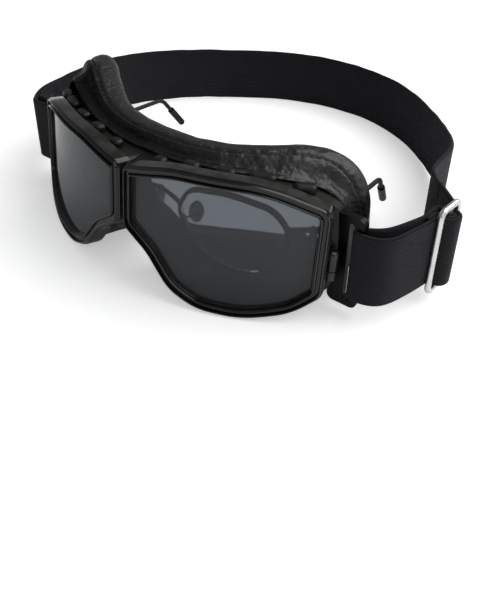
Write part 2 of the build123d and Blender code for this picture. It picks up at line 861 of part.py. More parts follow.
# Sleeve over the hooked end of a temple
sleeve_start = bend_point + (tip_point - bend_point) * sleeve_start_share
sleeve_plane = Plane(sleeve_start, z_dir=tip_point - bend_point)
sleeve_length = (tip_point - sleeve_start).length
with BuildPart() as temple_sleeve:
    with BuildSketch(sleeve_plane):
        Circle(sleeve_wire / 2)
    extrude(amount=sleeve_length)
    fillet(temple_sleeve.faces().sort_by(Axis(sleeve_start, sleeve_plane.z_dir))[-1].edges(), temple_wire / 2)
    with BuildSketch(sleeve_plane):
        Circle(temple_wire / 2 + sleeve_fit)
    extrude(amount=sleeve_length - temple_wire / 2, mode=Mode.SUBTRACT)
save_pair(temple_sleeve, "temple_sleeve")

with BuildPart() as left_temple:
    add(temple.part)
    with BuildSketch(sleeve_plane.offset(sleeve_length - temple_wire / 2 - sleeve_fit)):
        Circle(sleeve_wire)
    extrude(amount=sleeve_wire, mode=Mode.SUBTRACT)
save_pair(left_temple, "temple")

with BuildPart() as hinge_screw:
    with BuildSketch(on_hinge(hinge_top)):
        Circle(hinge_screw_head_radius)
    extrude(amount=hinge_screw_head_height)
    with BuildSketch(on_hinge(hinge_top)):
        Circle(hinge_screw_radius)
    extrude(amount=-2 * knuckle_pitch - knuckle_height)
    with BuildSketch(on_hinge(hinge_top + hinge_screw_head_height)):
        Rectangle(2 * hinge_screw_head_radius, hinge_screw_head_height / 2)
    extrude(amount=-hinge_screw_head_height / 2, mode=Mode.SUBTRACT)
save_pair(hinge_screw, "hinge_screw")

# Nose pads on their pivots
turn = math.radians(pad_turn)
pad_middle = Vector(pad_place[0], front_y + pad_place[1], pad_place[2])
pad_face = Vector(-math.cos(turn), math.sin(turn), 0)
pad_plane = Plane(pad_middle, x_dir=(math.sin(turn), math.cos(turn), 0), z_dir=pad_face)
pivot = pad_middle - pad_face * pad_stand
pivot_plane = Plane(pivot, x_dir=(0, 0, 1), z_dir=-pad_plane.x_dir)
with BuildPart() as nose_pad:
    with BuildSketch(pad_plane.offset(-pad_thickness / 2)):
        Ellipse(pad_width / 2, pad_height / 2)
    extrude(amount=pad_thickness)
    fillet(nose_pad.edges(), pad_round)
    with BuildSketch(pivot_plane.offset(-eye_gap)):
        Circle(eye_radius)
        with Locations(pivot_plane.to_local_coords(pad_middle)):
            Rectangle(2 * eye_radius, 2 * (pad_stand - pad_thickness / 4))
    extrude(amount=-eye_length)
    with BuildSketch(pivot_plane.offset(eye_length)):
        Circle(pad_screw_radius + pin_fit)
    extrude(amount=-3 * eye_length, mode=Mode.SUBTRACT)
save_pair(nose_pad, "nose_pad")

with BuildPart() as pad_screw:
    with BuildSketch(pivot_plane.offset(-eye_gap - eye_length)):
        Circle(pad_screw_radius)
    extrude(amount=2 * (eye_gap + eye_length))
    with BuildSketch(pivot_plane.offset(-eye_gap - eye_length)):
        Circle(pad_screw_head_radius)
    extrude(amount=-pad_screw_head_height)
save_pair(pad_screw, "pad_screw")

# Spectacle front: two rims, a bridge, the hinge halves and the pad arms
endpiece_start = on_spectacle(endpiece_start_share)
arm_start = on_spectacle(pad_arm_start_share)
arm_bow = (arm_start + pivot) / 2 + Vector(pad_arm_bow[0], 0, pad_arm_bow[1])
arm_end = pivot + pivot_plane.z_dir * (eye_gap + eye_length / 2) + Vector(0, 0, eye_radius * arm_seat_share)
bridge_end = on_spectacle(bridge_end_share)
with BuildPart() as spectacle_half:
    with BuildSketch(spectacle_plane.offset(-spectacle_rim_depth / 2)):
        add(spectacle_outline(0))
        add(spectacle_outline(spectacle_rim_width), mode=Mode.SUBTRACT)
    extrude(amount=spectacle_rim_depth)
    with BuildSketch(on_hinge(hinge_point.Z - knuckle_pitch - knuckle_height / 2)):
        with BuildLine() as endpiece_line:
            Line((endpiece_start.X - hinge_point.X, endpiece_start.Y - hinge_point.Y), (0, 0))
        trace(endpiece_line.edges(), endpiece_thickness)
        Circle(hinge_radius)
    extrude(amount=2 * knuckle_pitch + knuckle_height)
    with BuildSketch(on_hinge(hinge_point.Z - knuckle_height / 2 - knuckle_gap)):
        Circle(hinge_radius + 2 * knuckle_gap)
    extrude(amount=knuckle_height + 2 * knuckle_gap, mode=Mode.SUBTRACT)
    with BuildSketch(on_hinge(hinge_point.Z - temple_wire / 2 - knuckle_gap)):
        Circle(fold_room)
        Circle(hinge_radius, mode=Mode.SUBTRACT)
    extrude(amount=temple_wire + 2 * knuckle_gap, mode=Mode.SUBTRACT)
    with BuildSketch(on_hinge(hinge_top)):
        Circle(hinge_screw_radius + pin_fit)
    extrude(amount=-2 * knuckle_pitch - knuckle_height, mode=Mode.SUBTRACT)
    with BuildLine():
        FilletPolyline(arm_start, arm_bow, arm_end, radius=pad_arm_wire)
    with BuildSketch(Plane(arm_start, z_dir=arm_bow - arm_start)):
        Circle(pad_arm_wire / 2)
    sweep()
    with BuildSketch(pivot_plane.offset(eye_gap)):
        Circle(eye_radius)
    extrude(amount=eye_length)
    with BuildSketch(pivot_plane.offset(-eye_length)):
        Circle(pad_screw_radius + pin_fit)
    extrude(amount=3 * eye_length, mode=Mode.SUBTRACT)
    with BuildSketch(spectacle_plane.offset(-spectacle_rim_depth)):
        add(spectacle_outline(spectacle_rim_width))
    extrude(amount=2 * spectacle_rim_depth, mode=Mode.SUBTRACT)

with BuildPart() as spectacle_front:
    add(spectacle_half.part)
    mirror(spectacle_half.part, about=Plane.YZ)
    with BuildLine() as bridge_line:
        ThreePointArc(
            bridge_end,
            (0, bridge_end.Y, bridge_end.Z + bridge_rise),
            (-bridge_end.X, bridge_end.Y, bridge_end.Z),
        )
    with BuildSketch(Plane(bridge_end, z_dir=bridge_line.edge() % 0)):
        Circle(bridge_wire / 2)
    sweep()
saved(spectacle_front, "spectacle_front")
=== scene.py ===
"""Aviator flying goggles: finishes, leather cushion and webbing around the fixed frame.

Metres, +Z up, the front of the goggles faces -Y, +X is the wearer's left.
"""

import math

import bmesh
import bpy
from mathutils import Matrix, Vector, noise
from mathutils.bvhtree import BVHTree


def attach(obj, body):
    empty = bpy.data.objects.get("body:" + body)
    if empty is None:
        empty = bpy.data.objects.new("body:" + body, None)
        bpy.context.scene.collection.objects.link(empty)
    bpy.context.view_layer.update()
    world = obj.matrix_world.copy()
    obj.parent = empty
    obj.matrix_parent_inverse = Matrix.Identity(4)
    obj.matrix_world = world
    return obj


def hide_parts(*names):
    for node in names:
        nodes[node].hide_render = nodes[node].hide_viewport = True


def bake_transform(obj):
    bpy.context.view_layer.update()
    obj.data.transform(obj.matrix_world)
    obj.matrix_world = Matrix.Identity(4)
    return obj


MM = 0.001
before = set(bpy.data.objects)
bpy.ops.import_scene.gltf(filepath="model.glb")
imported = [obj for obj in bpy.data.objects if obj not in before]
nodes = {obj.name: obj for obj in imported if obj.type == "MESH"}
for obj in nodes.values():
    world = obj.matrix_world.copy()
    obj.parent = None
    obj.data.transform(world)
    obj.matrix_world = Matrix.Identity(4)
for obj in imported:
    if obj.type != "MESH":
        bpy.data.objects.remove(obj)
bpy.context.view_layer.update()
SIDES = ("left", "right")
BRIDGE_Y = -101.8 * MM  # the line across the front of the bridge

# Camera, matched to the upper view of the photograph
CAMERA_PLACE = Vector((175.65, -254.70, 190.91)) * MM
CAMERA_AHEAD = Vector((-0.51325, 0.68415, -0.51818))
CAMERA_ROLL = 0.8166  # degrees
PICTURE_SIZE = (479, 600)  # pixels
SENSOR = 36.0
FOCAL_PIXELS = 692.25
MIDDLE_PIXEL = (240.0, 175.0)


def add_camera():
    """The photograph's viewpoint, with its middle moved up the picture by the shift."""
    bpy.ops.object.camera_add(location=CAMERA_PLACE)
    camera = bpy.context.object
    turned = CAMERA_AHEAD.to_track_quat("-Z", "Y").to_matrix().to_4x4()
    roll = Matrix.Rotation(math.radians(CAMERA_ROLL), 4, "Z")
    camera.matrix_world = Matrix.Translation(CAMERA_PLACE) @ turned @ roll
    width, height = PICTURE_SIZE
    camera.data.sensor_width = SENSOR
    camera.data.lens = FOCAL_PIXELS * SENSOR / height
    camera.data.shift_x = (width / 2 - MIDDLE_PIXEL[0]) / height
    camera.data.shift_y = (MIDDLE_PIXEL[1] - height / 2) / height
    camera.data.clip_start = 10 * MM
    bpy.context.scene.camera = camera


# Materials
SKIRT_BAND = (27.5 * MM, 31.0 * MM)  # how far round the cushion's section the skirt begins
SKIRT_SHADE_SPAN = (-45 * MM, 35 * MM)  # across these the painted shade on the skirt goes from its darkest to none
RIDGE_HIGHLIGHT_SHARE = 0.2  # how far the painted highlights on the ridges go towards their palest colour
FINE_RELIEF = 0.2 * MM  # depth of the relief on moulded and enamelled pieces


class Finish:
    """A material whose nodes are added one by one."""

    def __init__(self, name):
        self.material = bpy.data.materials.new(name)
        self.material.use_nodes = True
        self.tree = self.material.node_tree
        self.shader = self.tree.nodes["Principled BSDF"]

    def node(self, kind, **values):
        """A node with its properties set, and its sockets where a value names one."""
        made = self.tree.nodes.new(kind)
        for key, value in values.items():
            if key in made.inputs:
                made.inputs[key].default_value = value
            else:
                setattr(made, key, value)
        return made

    def link(self, start, end):
        """A wire from an output to an input."""
        self.tree.links.new(start, end)

    def place(self, stretch=(1, 1, 1), uv=False):
        """Coordinates of the piece, or of its UV map, stretched."""
        coordinates = self.node("ShaderNodeTexCoord")
        mapping = self.node("ShaderNodeMapping")
        mapping.inputs["Scale"].default_value = stretch
        self.link(coordinates.outputs["UV" if uv else "Object"], mapping.inputs["Vector"])
        return mapping.outputs["Vector"]

    def noise(self, place, scale, detail=3.0, roughness=0.55):
        """A cloudy pattern from 0 to 1."""
        made = self.node("ShaderNodeTexNoise", Scale=scale, Detail=detail, Roughness=roughness)
        self.link(place, made.inputs["Vector"])
        return made.outputs["Fac"]

    def ramp(self, value, low, high, start=0.3, end=0.7):
        """A smooth change from one colour to another."""
        made = self.node("ShaderNodeValToRGB")
        made.color_ramp.elements[0].position = start
        made.color_ramp.elements[1].position = end
        made.color_ramp.elements[0].color = (*low, 1)
        made.color_ramp.elements[1].color = (*high, 1)
        self.link(value, made.inputs["Fac"])
        return made.outputs["Color"]

    def span(self, value, low, high, start=0.0, end=1.0):
        """A value carried from one range to another."""
        made = self.node("ShaderNodeMapRange")
        for key, number in (("From Min", start), ("From Max", end), ("To Min", low), ("To Max", high)):
            made.inputs[key].default_value = number
        self.link(value, made.inputs["Value"])
        return made.outputs["Result"]

    def math(self, operation, first, second):
        """One sum of two numbers or outputs."""
        made = self.node("ShaderNodeMath", operation=operation)
        for socket, value in zip(made.inputs, (first, second)):
            if isinstance(value, (int, float)):
                socket.default_value = value
            else:
                self.link(value, socket)
        return made.outputs["Value"]

    def bump(self, height, strength, distance, after=None):
        """Fine relief on the shader's normal, on top of an earlier one where it is given."""
        made = self.node("ShaderNodeBump", Strength=strength, Distance=distance)
        self.link(height, made.inputs["Height"])
        if after is not None:
            self.link(after, made.inputs["Normal"])
        self.link(made.outputs["Normal"], self.shader.inputs["Normal"])
        return made.outputs["Normal"]

    def set(self, **values):
        """Sockets of the shader, by name with _ for a space."""
        for key, value in values.items():
            socket = self.shader.inputs[key.replace("_", " ")]
            if isinstance(value, tuple):
                socket.default_value = (*value, 1)
            elif isinstance(value, (int, float)):
                socket.default_value = value
            else:
                self.link(value, socket)


def rim_enamel():
    """Gloss black of the rims, a little worn along the beads."""
    made = Finish("rim_enamel")
    cloud = made.noise(made.place(), 140.0, 4.0)
    wear = made.node("ShaderNodeNewGeometry").outputs["Pointiness"]
    edge = made.span(wear, 0.0, 1.0, 0.52, 0.60)
    scuff = made.math("MULTIPLY", edge, made.span(cloud, 0.2, 1.0, 0.4, 0.6))
    made.set(Base_Color=made.ramp(scuff, (0.0030, 0.0030, 0.0024), (0.030, 0.030, 0.025), 0.0, 1.0))
    made.set(Roughness=made.span(cloud, 0.08, 0.15, 0.3, 0.7), Specular_IOR_Level=0.45)
    made.bump(made.noise(made.place(), 900.0, 2.0), 0.05, FINE_RELIEF)
    return made.material


def smoke_lens():
    """Grey polycarbonate, paler towards its top under a painted veil of reflected light that fades
    towards its lower edge.
    """
    made = Finish("smoke_lens")
    place = made.place()
    apart = made.node("ShaderNodeSeparateXYZ")
    made.link(place, apart.inputs["Vector"])
    # Painted reflection: the colour grows paler higher up, and the share that does not pass through
    # shows it as a veil.
    height = made.span(apart.outputs["Z"], 0.0, 1.0, 8 * MM, 34 * MM)
    made.set(Base_Color=made.ramp(height, (0.10, 0.108, 0.12), (0.140, 0.155, 0.172), 0.0, 1.0))
    made.set(Roughness=0.0, IOR=1.34, Transmission_Weight=0.80)
    return made.material


def clear_lens():
    """Clear spectacle glass."""
    made = Finish("clear_lens")
    cloud = made.noise(made.place(), 30.0, 1.0)
    made.set(Base_Color=made.ramp(cloud, (0.90, 0.93, 0.95), (0.94, 0.96, 0.97)))
    made.set(Roughness=0.0, IOR=1.15, Transmission_Weight=1.0)
    return made.material


def grained_leather():
    """Black leather: pebbled grain, short creases, paler ridges of painted highlight, and painted shade
    that darkens the skirt towards -X and dulls its gloss there.
    """
    made = Finish("grained_leather")
    place = made.place()
    drawn = made.place((0.5, 1.0, 1.0), uv=True)
    patch = made.noise(place, 60.0, 4.0, 0.6)
    crease = made.noise(drawn, 330.0, 2.0, 0.50)
    grain = made.noise(place, 1150.0, 2.0, 0.6)
    fold = made.noise(place, 170.0, 2.0, 0.5)
    pebble = made.node("ShaderNodeTexVoronoi", feature="SMOOTH_F1", Scale=560.0, Smoothness=0.4)
    made.link(place, pebble.inputs["Vector"])
    across = made.node("ShaderNodeSeparateXYZ")
    made.link(place, across.inputs["Vector"])
    around = made.node("ShaderNodeSeparateXYZ")
    made.link(made.place(uv=True), around.inputs["Vector"])
    # Painted shade: the skirt grows darker towards -X, the side turned away from the lamps.
    lit_side = made.span(across.outputs["X"], 0.0, 1.0, *SKIRT_SHADE_SPAN)
    skirt = made.span(around.outputs["Y"], 0.0, 1.0, *SKIRT_BAND)
    skirt_painted_light = made.math("SUBTRACT", 1.0, made.math("MULTIPLY", skirt, made.math("SUBTRACT", 1.0, lit_side)))
    # Paler ridges: painted highlights on the grain and creases, in random patches, dimmed where the
    # skirt has painted shade.
    ridge = made.span(crease, 0.35, 1.0, 0.46, 0.64)
    ridge = made.math("MULTIPLY", ridge, made.span(grain, 0.0, 1.0, 0.45, 0.62))
    ridge_highlight = made.math("MULTIPLY", ridge, made.span(patch, 0.35, 0.75, 0.40, 0.62))
    ridge_highlight = made.math("MULTIPLY", made.math("MULTIPLY", ridge_highlight, skirt_painted_light), RIDGE_HIGHLIGHT_SHARE)
    made.set(Base_Color=made.ramp(ridge_highlight, (0.0028, 0.0028, 0.0028), (0.050, 0.050, 0.053), 0.0, 0.9))
    # The painted shade also takes gloss off the skirt towards -X.
    gloss = made.math("MULTIPLY", made.span(patch, 0.46, 0.56, 0.4, 0.62), made.span(skirt_painted_light, 0.1, 1.0))
    made.set(Roughness=made.span(crease, 0.46, 0.36, 0.35, 0.7), Specular_IOR_Level=gloss)
    first = made.bump(made.span(fold, 0.0, 1.0, 0.35, 0.65), 0.35, 1.2 * MM)
    second = made.bump(made.span(crease, 0.0, 1.0, 0.40, 0.66), 0.30, 0.5 * MM, first)
    made.bump(pebble.outputs["Distance"], 0.35, 0.5 * MM, second)
    return made.material


def ribbed_webbing():
    """Black elastic webbing: fine cords along its length and picks across it."""
    made = Finish("ribbed_webbing")
    place = made.place(uv=True)
    ribs = made.node("ShaderNodeTexWave", bands_direction="Y", Scale=320.0, Distortion=0.6)
    made.link(place, ribs.inputs["Vector"])
    picks = made.node("ShaderNodeTexWave", bands_direction="X", Scale=520.0, Distortion=0.8)
    made.link(place, picks.inputs["Vector"])
    knit = made.math("MULTIPLY", ribs.outputs["Fac"], made.span(picks.outputs["Fac"], 0.55, 1.0))
    cloud = made.noise(made.place(), 70.0, 5.0)
    lint = made.noise(made.place(), 1500.0, 3.0)
    tone = made.math("MULTIPLY", knit, made.span(cloud, 0.6, 1.1, 0.3, 0.7))
    made.set(Base_Color=made.ramp(tone, (0.005, 0.005, 0.007), (0.021, 0.021, 0.028), 0.05, 0.95))
    made.set(Roughness=made.span(lint, 0.72, 0.95), Sheen_Weight=0.06, Sheen_Roughness=0.4)
    made.set(Specular_IOR_Level=0.2)
    first = made.bump(knit, 0.5, 0.5 * MM)
    made.bump(lint, 0.25, 0.4 * MM, first)
    return made.material


def dark_nickel():
    """Bright dark nickel of the slider, with fine scratches."""
    made = Finish("dark_nickel")
    scratch = made.noise(made.place((1, 1, 0.08)), 900.0, 3.0)
    cloud = made.noise(made.place(), 160.0, 3.0)
    made.set(Base_Color=made.ramp(cloud, (0.70, 0.69, 0.68), (0.82, 0.81, 0.80)), Metallic=1.0)
    made.set(Roughness=made.span(scratch, 0.20, 0.38))
    return made.material


def clouded(name, grain, low, high, roughness, relief=None, **sockets):
    """A finish whose colour and roughness drift a little, with a fine relief where one is given."""
    made = Finish(name)
    cloud = made.noise(made.place(), *grain)
    made.set(Base_Color=made.ramp(cloud, low, high), Roughness=made.span(cloud, *roughness), **sockets)
    if relief:
        made.bump(made.noise(made.place(), relief[0], 2.0), relief[1], FINE_RELIEF)
    return made.material


def dark_plastic(name, low, high, roughness):
    """Moulded black plastic with a fine grain, in a grey that drifts between two."""
    relief = (2400.0, 0.10)
    return clouded(name, (180.0, 4.0), [low] * 3, [high] * 3, roughness, relief, Specular_IOR_Level=0.18)


RUBBER = clouded(
    "moulded_rubber",
    (90.0, 4.0),
    (0.004, 0.004, 0.0034),
    (0.010, 0.010, 0.008),
    (0.32, 0.46),
    (2600.0, 0.12),
    Specular_IOR_Level=0.26,
)
WIRE = clouded(
    "black_wire",
    (260.0, 3.0),
    (0.010, 0.010, 0.011),
    (0.022, 0.022, 0.024),
    (0.34, 0.46),
    Specular_IOR_Level=0.15,
)
STEEL = clouded(
    "screw_steel", (500.0, 3.0), (0.09, 0.09, 0.09), (0.20, 0.20, 0.195), (0.25, 0.42), Metallic=1.0
)
SILICONE = clouded(
    "pad_silicone",
    (200.0, 2.0),
    (0.16, 0.165, 0.18),
    (0.24, 0.25, 0.27),
    (0.06, 0.12),
    Transmission_Weight=0.80,
    IOR=1.35,
)
LUG = dark_plastic("lug_plastic", 0.0008, 0.0022, (0.26, 0.38))
SLEEVE = dark_plastic("sleeve_plastic", 0.006, 0.013, (0.20, 0.32))
GASKET = dark_plastic("gasket_rubber", 0.004, 0.008, (0.55, 0.70))
THREAD = dark_plastic("waxed_thread", 0.006, 0.014, (0.35, 0.5))
ENAMEL = rim_enamel()
SMOKE = smoke_lens()
CLEAR = clear_lens()
LEATHER = grained_leather()
WEBBING = ribbed_webbing()
NICKEL = dark_nickel()

NODE_FINISHES = {
    RUBBER: ("eyecup", "vent_hoods", "bridge_block"),
    ENAMEL: ("rim", "rim_lock"),
    SMOKE: ("lens",),
    GASKET: ("lens_gasket",),
    LUG: ("strap_lug",),
    NICKEL: ("slider_frame", "slider_bar"),
    CLEAR: ("spectacle_lens",),
    WIRE: ("spectacle_front", "temple"),
    STEEL: ("rim_screw", "hinge_screw", "pad_screw"),
    SILICONE: ("nose_pad",),
    SLEEVE: ("temple_sleeve",),
}


def finish_nodes():
    """Gives every node that stays in view its material."""
    for name, item in nodes.items():
        short = name.removeprefix("left_").removeprefix("right_")
        for material, names in NODE_FINISHES.items():
            if short in names:
                item.data.materials.clear()
                item.data.materials.append(material)


# Helpers for the new pieces
def deselect():
    """Nothing stays selected."""
    bpy.ops.object.select_all(action="DESELECT")


def pick(item):
    """One object is selected and active."""
    deselect()
    item.select_set(True)
    bpy.context.view_layer.objects.active = item


def apply_modifiers(item):
    """Turns an object's modifiers into mesh."""
    pick(item)
    for modifier in list(item.modifiers):
        bpy.ops.object.modifier_apply(modifier=modifier.name)


def add_object(name, data):
    """A new object at the origin."""
    item = bpy.data.objects.new(name, data)
    bpy.context.scene.collection.objects.link(item)
    return item


def finish_mesh(data, material):
    """Smooth shading and one material."""
    data.materials.clear()
    data.materials.append(material)
    data.polygons.foreach_set("use_smooth", [True] * len(data.polygons))
    data.update()


def from_points(name, points, faces, material):
    """A smooth mesh object at the origin."""
    mesh = bpy.data.meshes.new(name)
    mesh.from_pydata([tuple(point) for point in points], [], faces)
    mesh.validate()
    finish_mesh(mesh, material)
    return add_object(name, mesh)


def face_outwards(item):
    """Turns every face of a closed mesh outwards."""
    pick(item)
    bpy.ops.object.mode_set(mode="EDIT")
    bpy.ops.mesh.select_all(action="SELECT")
    bpy.ops.mesh.normals_make_consistent(inside=False)
    bpy.ops.object.mode_set(mode="OBJECT")


def dress(item, node):
    """A finished piece of the goggles that stands for a node."""
    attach(item, "goggles")
    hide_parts(node)


def smooth_step(value, low, high):
    """Zero up to the first mark, one from the second on, and an easy slope between them."""
    share = min(max((value - low) / (high - low), 0.0), 1.0)
    return share * share * (3 - 2 * share)


def smooth_loop(points, steps):
    """Points on a closed curve through the given ones, with easy handles."""
    curve = bpy.data.curves.new("loop_guide", "CURVE")
    curve.dimensions = "3D"
    curve.resolution_u = steps
    line = curve.splines.new("BEZIER")
    line.bezier_points.add(len(points) - 1)
    for knot, point in zip(line.bezier_points, points):
        knot.co = Vector(point)
        knot.handle_left_type = knot.handle_right_type = "AUTO"
    line.use_cyclic_u = True
    guide = add_object("loop_guide", curve)
    graph = bpy.context.evaluated_depsgraph_get()
    mesh = bpy.data.meshes.new_from_object(guide.evaluated_get(graph))
    found = [vertex.co.copy() for vertex in mesh.vertices]
    bpy.data.meshes.remove(mesh)
    bpy.data.objects.remove(guide)
    bpy.data.curves.remove(curve)
    return found


# Lens panels. The solids draw the outline with straight runs between a few corners; here its lower
# edge is one flowing curve. Corners are shares of the panel's width and height, from the inner top
# corner clockwise, each with its radius as a share of the height.
PANEL_WIDTH = 83.6 * MM
PANEL_HEIGHT = 60.7 * MM
PANEL_RADIUS = 128.0 * MM
PANEL_MIDDLE = Vector((41.939, -93.407, -0.779)) * MM
PANEL_HEADING = math.radians(21.0)
PANEL_LEAN = math.radians(5.3)
TOP_CORNERS = [(0.0, 0.915, 0.066), (0.265, 1.005, 0.9), (0.715, 1.02, 1.0), (1.0, 0.875, 0.115)]
SOLID_CORNERS = [
    *TOP_CORNERS,
    (1.010, 0.285, 0.150),
    (0.790, 0.034, 0.360),
    (0.370, 0.017, 0.250),
    (0.180, 0.292, 0.400),
    (0.000, 0.490, 0.110),
]
FLOWING_CORNERS = [
    *TOP_CORNERS,
    (1.002, 0.248, 0.110),
    (0.870, 0.102, 0.480),
    (0.640, 0.011, 0.900),
    (0.410, 0.013, 0.450),
    (0.262, 0.108, 0.330),
    (0.140, 0.335, 0.400),
    (0.000, 0.478, 0.110),
]
CUT_PITCH = 2.5 * MM
FADE_DEPTH = (4.0 * MM, 32.0 * MM)  # behind the panel, where a cup goes back to its solid's shape
ARC_STEPS = 8
RUN_STEPS = 6
CREASE = math.radians(35)
LEAST_RADIUS = 0.95 * MM
ALMOST_ZERO = 1e-9
CUT_TOLERANCE = MM / 1000
MERGE_DISTANCE = MM / 500


def rounded(corners, inset=0.0):
    """Points of an outline with rounded corners, in metres about the panel's middle."""
    knots = [Vector(((across - 0.5) * PANEL_WIDTH, up * PANEL_HEIGHT)) for across, up, _ in corners]
    arcs = []
    for index, (_, _, share) in enumerate(corners):
        here = knots[index]
        before = (knots[index - 1] - here).normalized()
        after = (knots[(index + 1) % len(knots)] - here).normalized()
        half_turn = (math.pi - before.angle(after)) / 2
        hollow = before.x * after.y - before.y * after.x < 0
        radius = share * PANEL_HEIGHT
        radius = radius + inset if hollow else max(radius - inset, LEAST_RADIUS)
        inward = (before + after).normalized() * (-1 if hollow else 1)
        here = here + inward * (inset / math.cos(half_turn))
        reach = radius * math.tan(half_turn)
        middle = here + (before + after).normalized() * (radius / math.cos(half_turn))
        first, last = here + before * reach - middle, here + after * reach - middle
        spokes = [first.lerp(last, step / ARC_STEPS).normalized() for step in range(ARC_STEPS + 1)]
        arcs.append([middle + spoke * radius for spoke in spokes])
    points = []
    for index, arc in enumerate(arcs):
        following = arcs[(index + 1) % len(arcs)][0]
        points += arc
        points += [arc[-1].lerp(following, step / RUN_STEPS) for step in range(1, RUN_STEPS)]
    return points


PANEL_HUB = Vector((0.0, 0.5 * PANEL_HEIGHT))


def reach_at(points, turn):
    """How far an outline lies from the panel's hub in one direction."""
    ray = Vector((math.cos(turn), math.sin(turn)))
    for first, last in zip(points, [*points[1:], points[0]]):
        start, along = first - PANEL_HUB, last - first
        cross = ray.x * along.y - ray.y * along.x
        if abs(cross) < ALMOST_ZERO * MM:
            continue
        distance = (start.x * along.y - start.y * along.x) / cross
        share = (start.x * ray.y - start.y * ray.x) / cross
        if distance > 0 and -ALMOST_ZERO <= share <= 1 + ALMOST_ZERO:
            return distance
    return None


TURN_STEPS = 720
SPLIT = 0.15 * MM  # how far each panel's pieces stay from the middle of the goggles
RIM_WALL = 1.8 * MM
RIM_LIP = 4.8 * MM
RIM_DEPTH = 4.2 * MM
LENS_FIT = 0.1 * MM
LENS_THICKNESS = 2.0 * MM
GASKET_WIDTH = 2.6 * MM
GASKET_THICKNESS = 1.3 * MM
BEAD_FACE = LENS_FIT / 2 + 1.2 * MM
BEAD_EDGE = 0.5 * MM
BEAD_WIDTH = 1.2 * MM
BEAD_HEIGHT = 1.1 * MM
BEAD_STEPS = 6
EDGE_EASE = 0.35 * MM
LENS_RINGS = [0.15, 0.4, 0.6, 0.75, 0.88, 0.96, 1.0]


def stretch_table():
    """How much further out the flowing outline lies than the solid's, all the way round."""
    solid, flowing = rounded(SOLID_CORNERS), rounded(FLOWING_CORNERS)
    table = []
    for step in range(TURN_STEPS):
        turn = 2 * math.pi * step / TURN_STEPS
        first, second = reach_at(solid, turn), reach_at(flowing, turn)
        table.append(second / first if first and second else 1.0)
    return table


def panel_frame():
    """Directions of the left panel: across, up and out of its face."""
    lean_up = Vector((0, math.sin(PANEL_LEAN), math.cos(PANEL_LEAN)))
    lean_back = lean_up.cross(Vector((1, 0, 0)))
    across = Vector((1, 0, 0)) * math.cos(PANEL_HEADING) + lean_back * math.sin(PANEL_HEADING)
    return across, lean_up, across.cross(lean_up)


def bow(across):
    """How far the panel's face has curved back, this far from its middle."""
    return PANEL_RADIUS - math.sqrt(PANEL_RADIUS**2 - across**2)


def on_panel(across, up, out):
    """A place of the left panel: out is measured from its curved face."""
    axes = panel_frame()
    depth = math.sqrt((PANEL_RADIUS + out) ** 2 - across**2) - PANEL_RADIUS
    return PANEL_MIDDLE + axes[0] * across + axes[1] * up + axes[2] * depth


def finish_panel_piece(item, side, node):
    """Makes a piece of a panel ready, turned over for the right side."""
    for vertex in item.data.vertices:
        vertex.co.x = max(vertex.co.x, SPLIT)
        vertex.co.z = max(vertex.co.z, 0.0)
        if side == "right":
            vertex.co.x = -vertex.co.x
    item.data.update()
    face_outwards(item)
    bpy.ops.object.shade_smooth_by_angle(angle=CREASE)
    dress(item, side + "_" + node)


def sweep_ring(side, node, section, material):
    """A ring along the panel's outline; the section gives inset and distance from the face."""
    outlines = [rounded(FLOWING_CORNERS, inset) for inset, _ in section]
    long, wide = len(outlines[0]), len(section)
    points = []
    for index in range(long):
        for row, (_, out) in enumerate(section):
            spot = outlines[row][index]
            points.append(on_panel(spot.x, spot.y, out))
    faces = []
    for index in range(long):
        following = (index + 1) % long
        for row in range(wide):
            after = (row + 1) % wide
            corners = (index, row), (following, row), (following, after), (index, after)
            faces.append(tuple(place * wide + step for place, step in corners))
    item = from_points(side + "_" + node + "_ring", points, faces, material)
    finish_panel_piece(item, side, node)


def bead(start, width, height):
    """Section points over a rounded bead, from its outer foot to its inner foot."""
    found = []
    for step in range(BEAD_STEPS + 1):
        turn = math.pi * step / BEAD_STEPS
        across = start + width * (1 - math.cos(turn)) / 2
        found.append((across, BEAD_FACE + height * math.sin(turn)))
    return found


def build_rim(side):
    """A channel round the lens with a wide outer bead and a narrow inner one."""
    section = [
        (0.0, -RIM_DEPTH),
        (0.0, BEAD_FACE - EDGE_EASE),
        (EDGE_EASE, BEAD_FACE),
        *bead(BEAD_EDGE, BEAD_WIDTH, BEAD_HEIGHT),
        *bead(RIM_LIP - BEAD_EDGE - BEAD_WIDTH, BEAD_WIDTH, BEAD_HEIGHT),
        (RIM_LIP - EDGE_EASE / 2, BEAD_FACE),
        (RIM_LIP, BEAD_FACE - EDGE_EASE),
        (RIM_LIP, LENS_FIT / 2),
        (RIM_WALL, LENS_FIT / 2),
        (RIM_WALL, -RIM_DEPTH),
    ]
    sweep_ring(side, "rim", section, ENAMEL)


def build_gasket(side):
    """The dark ring behind the lens."""
    front = -LENS_THICKNESS - LENS_FIT / 2
    outer, inner = RIM_WALL + LENS_FIT, RIM_WALL + LENS_FIT + GASKET_WIDTH
    back = front - GASKET_THICKNESS
    section = [(outer, back), (outer, front), (inner, front), (inner, back)]
    sweep_ring(side, "lens_gasket", section, GASKET)


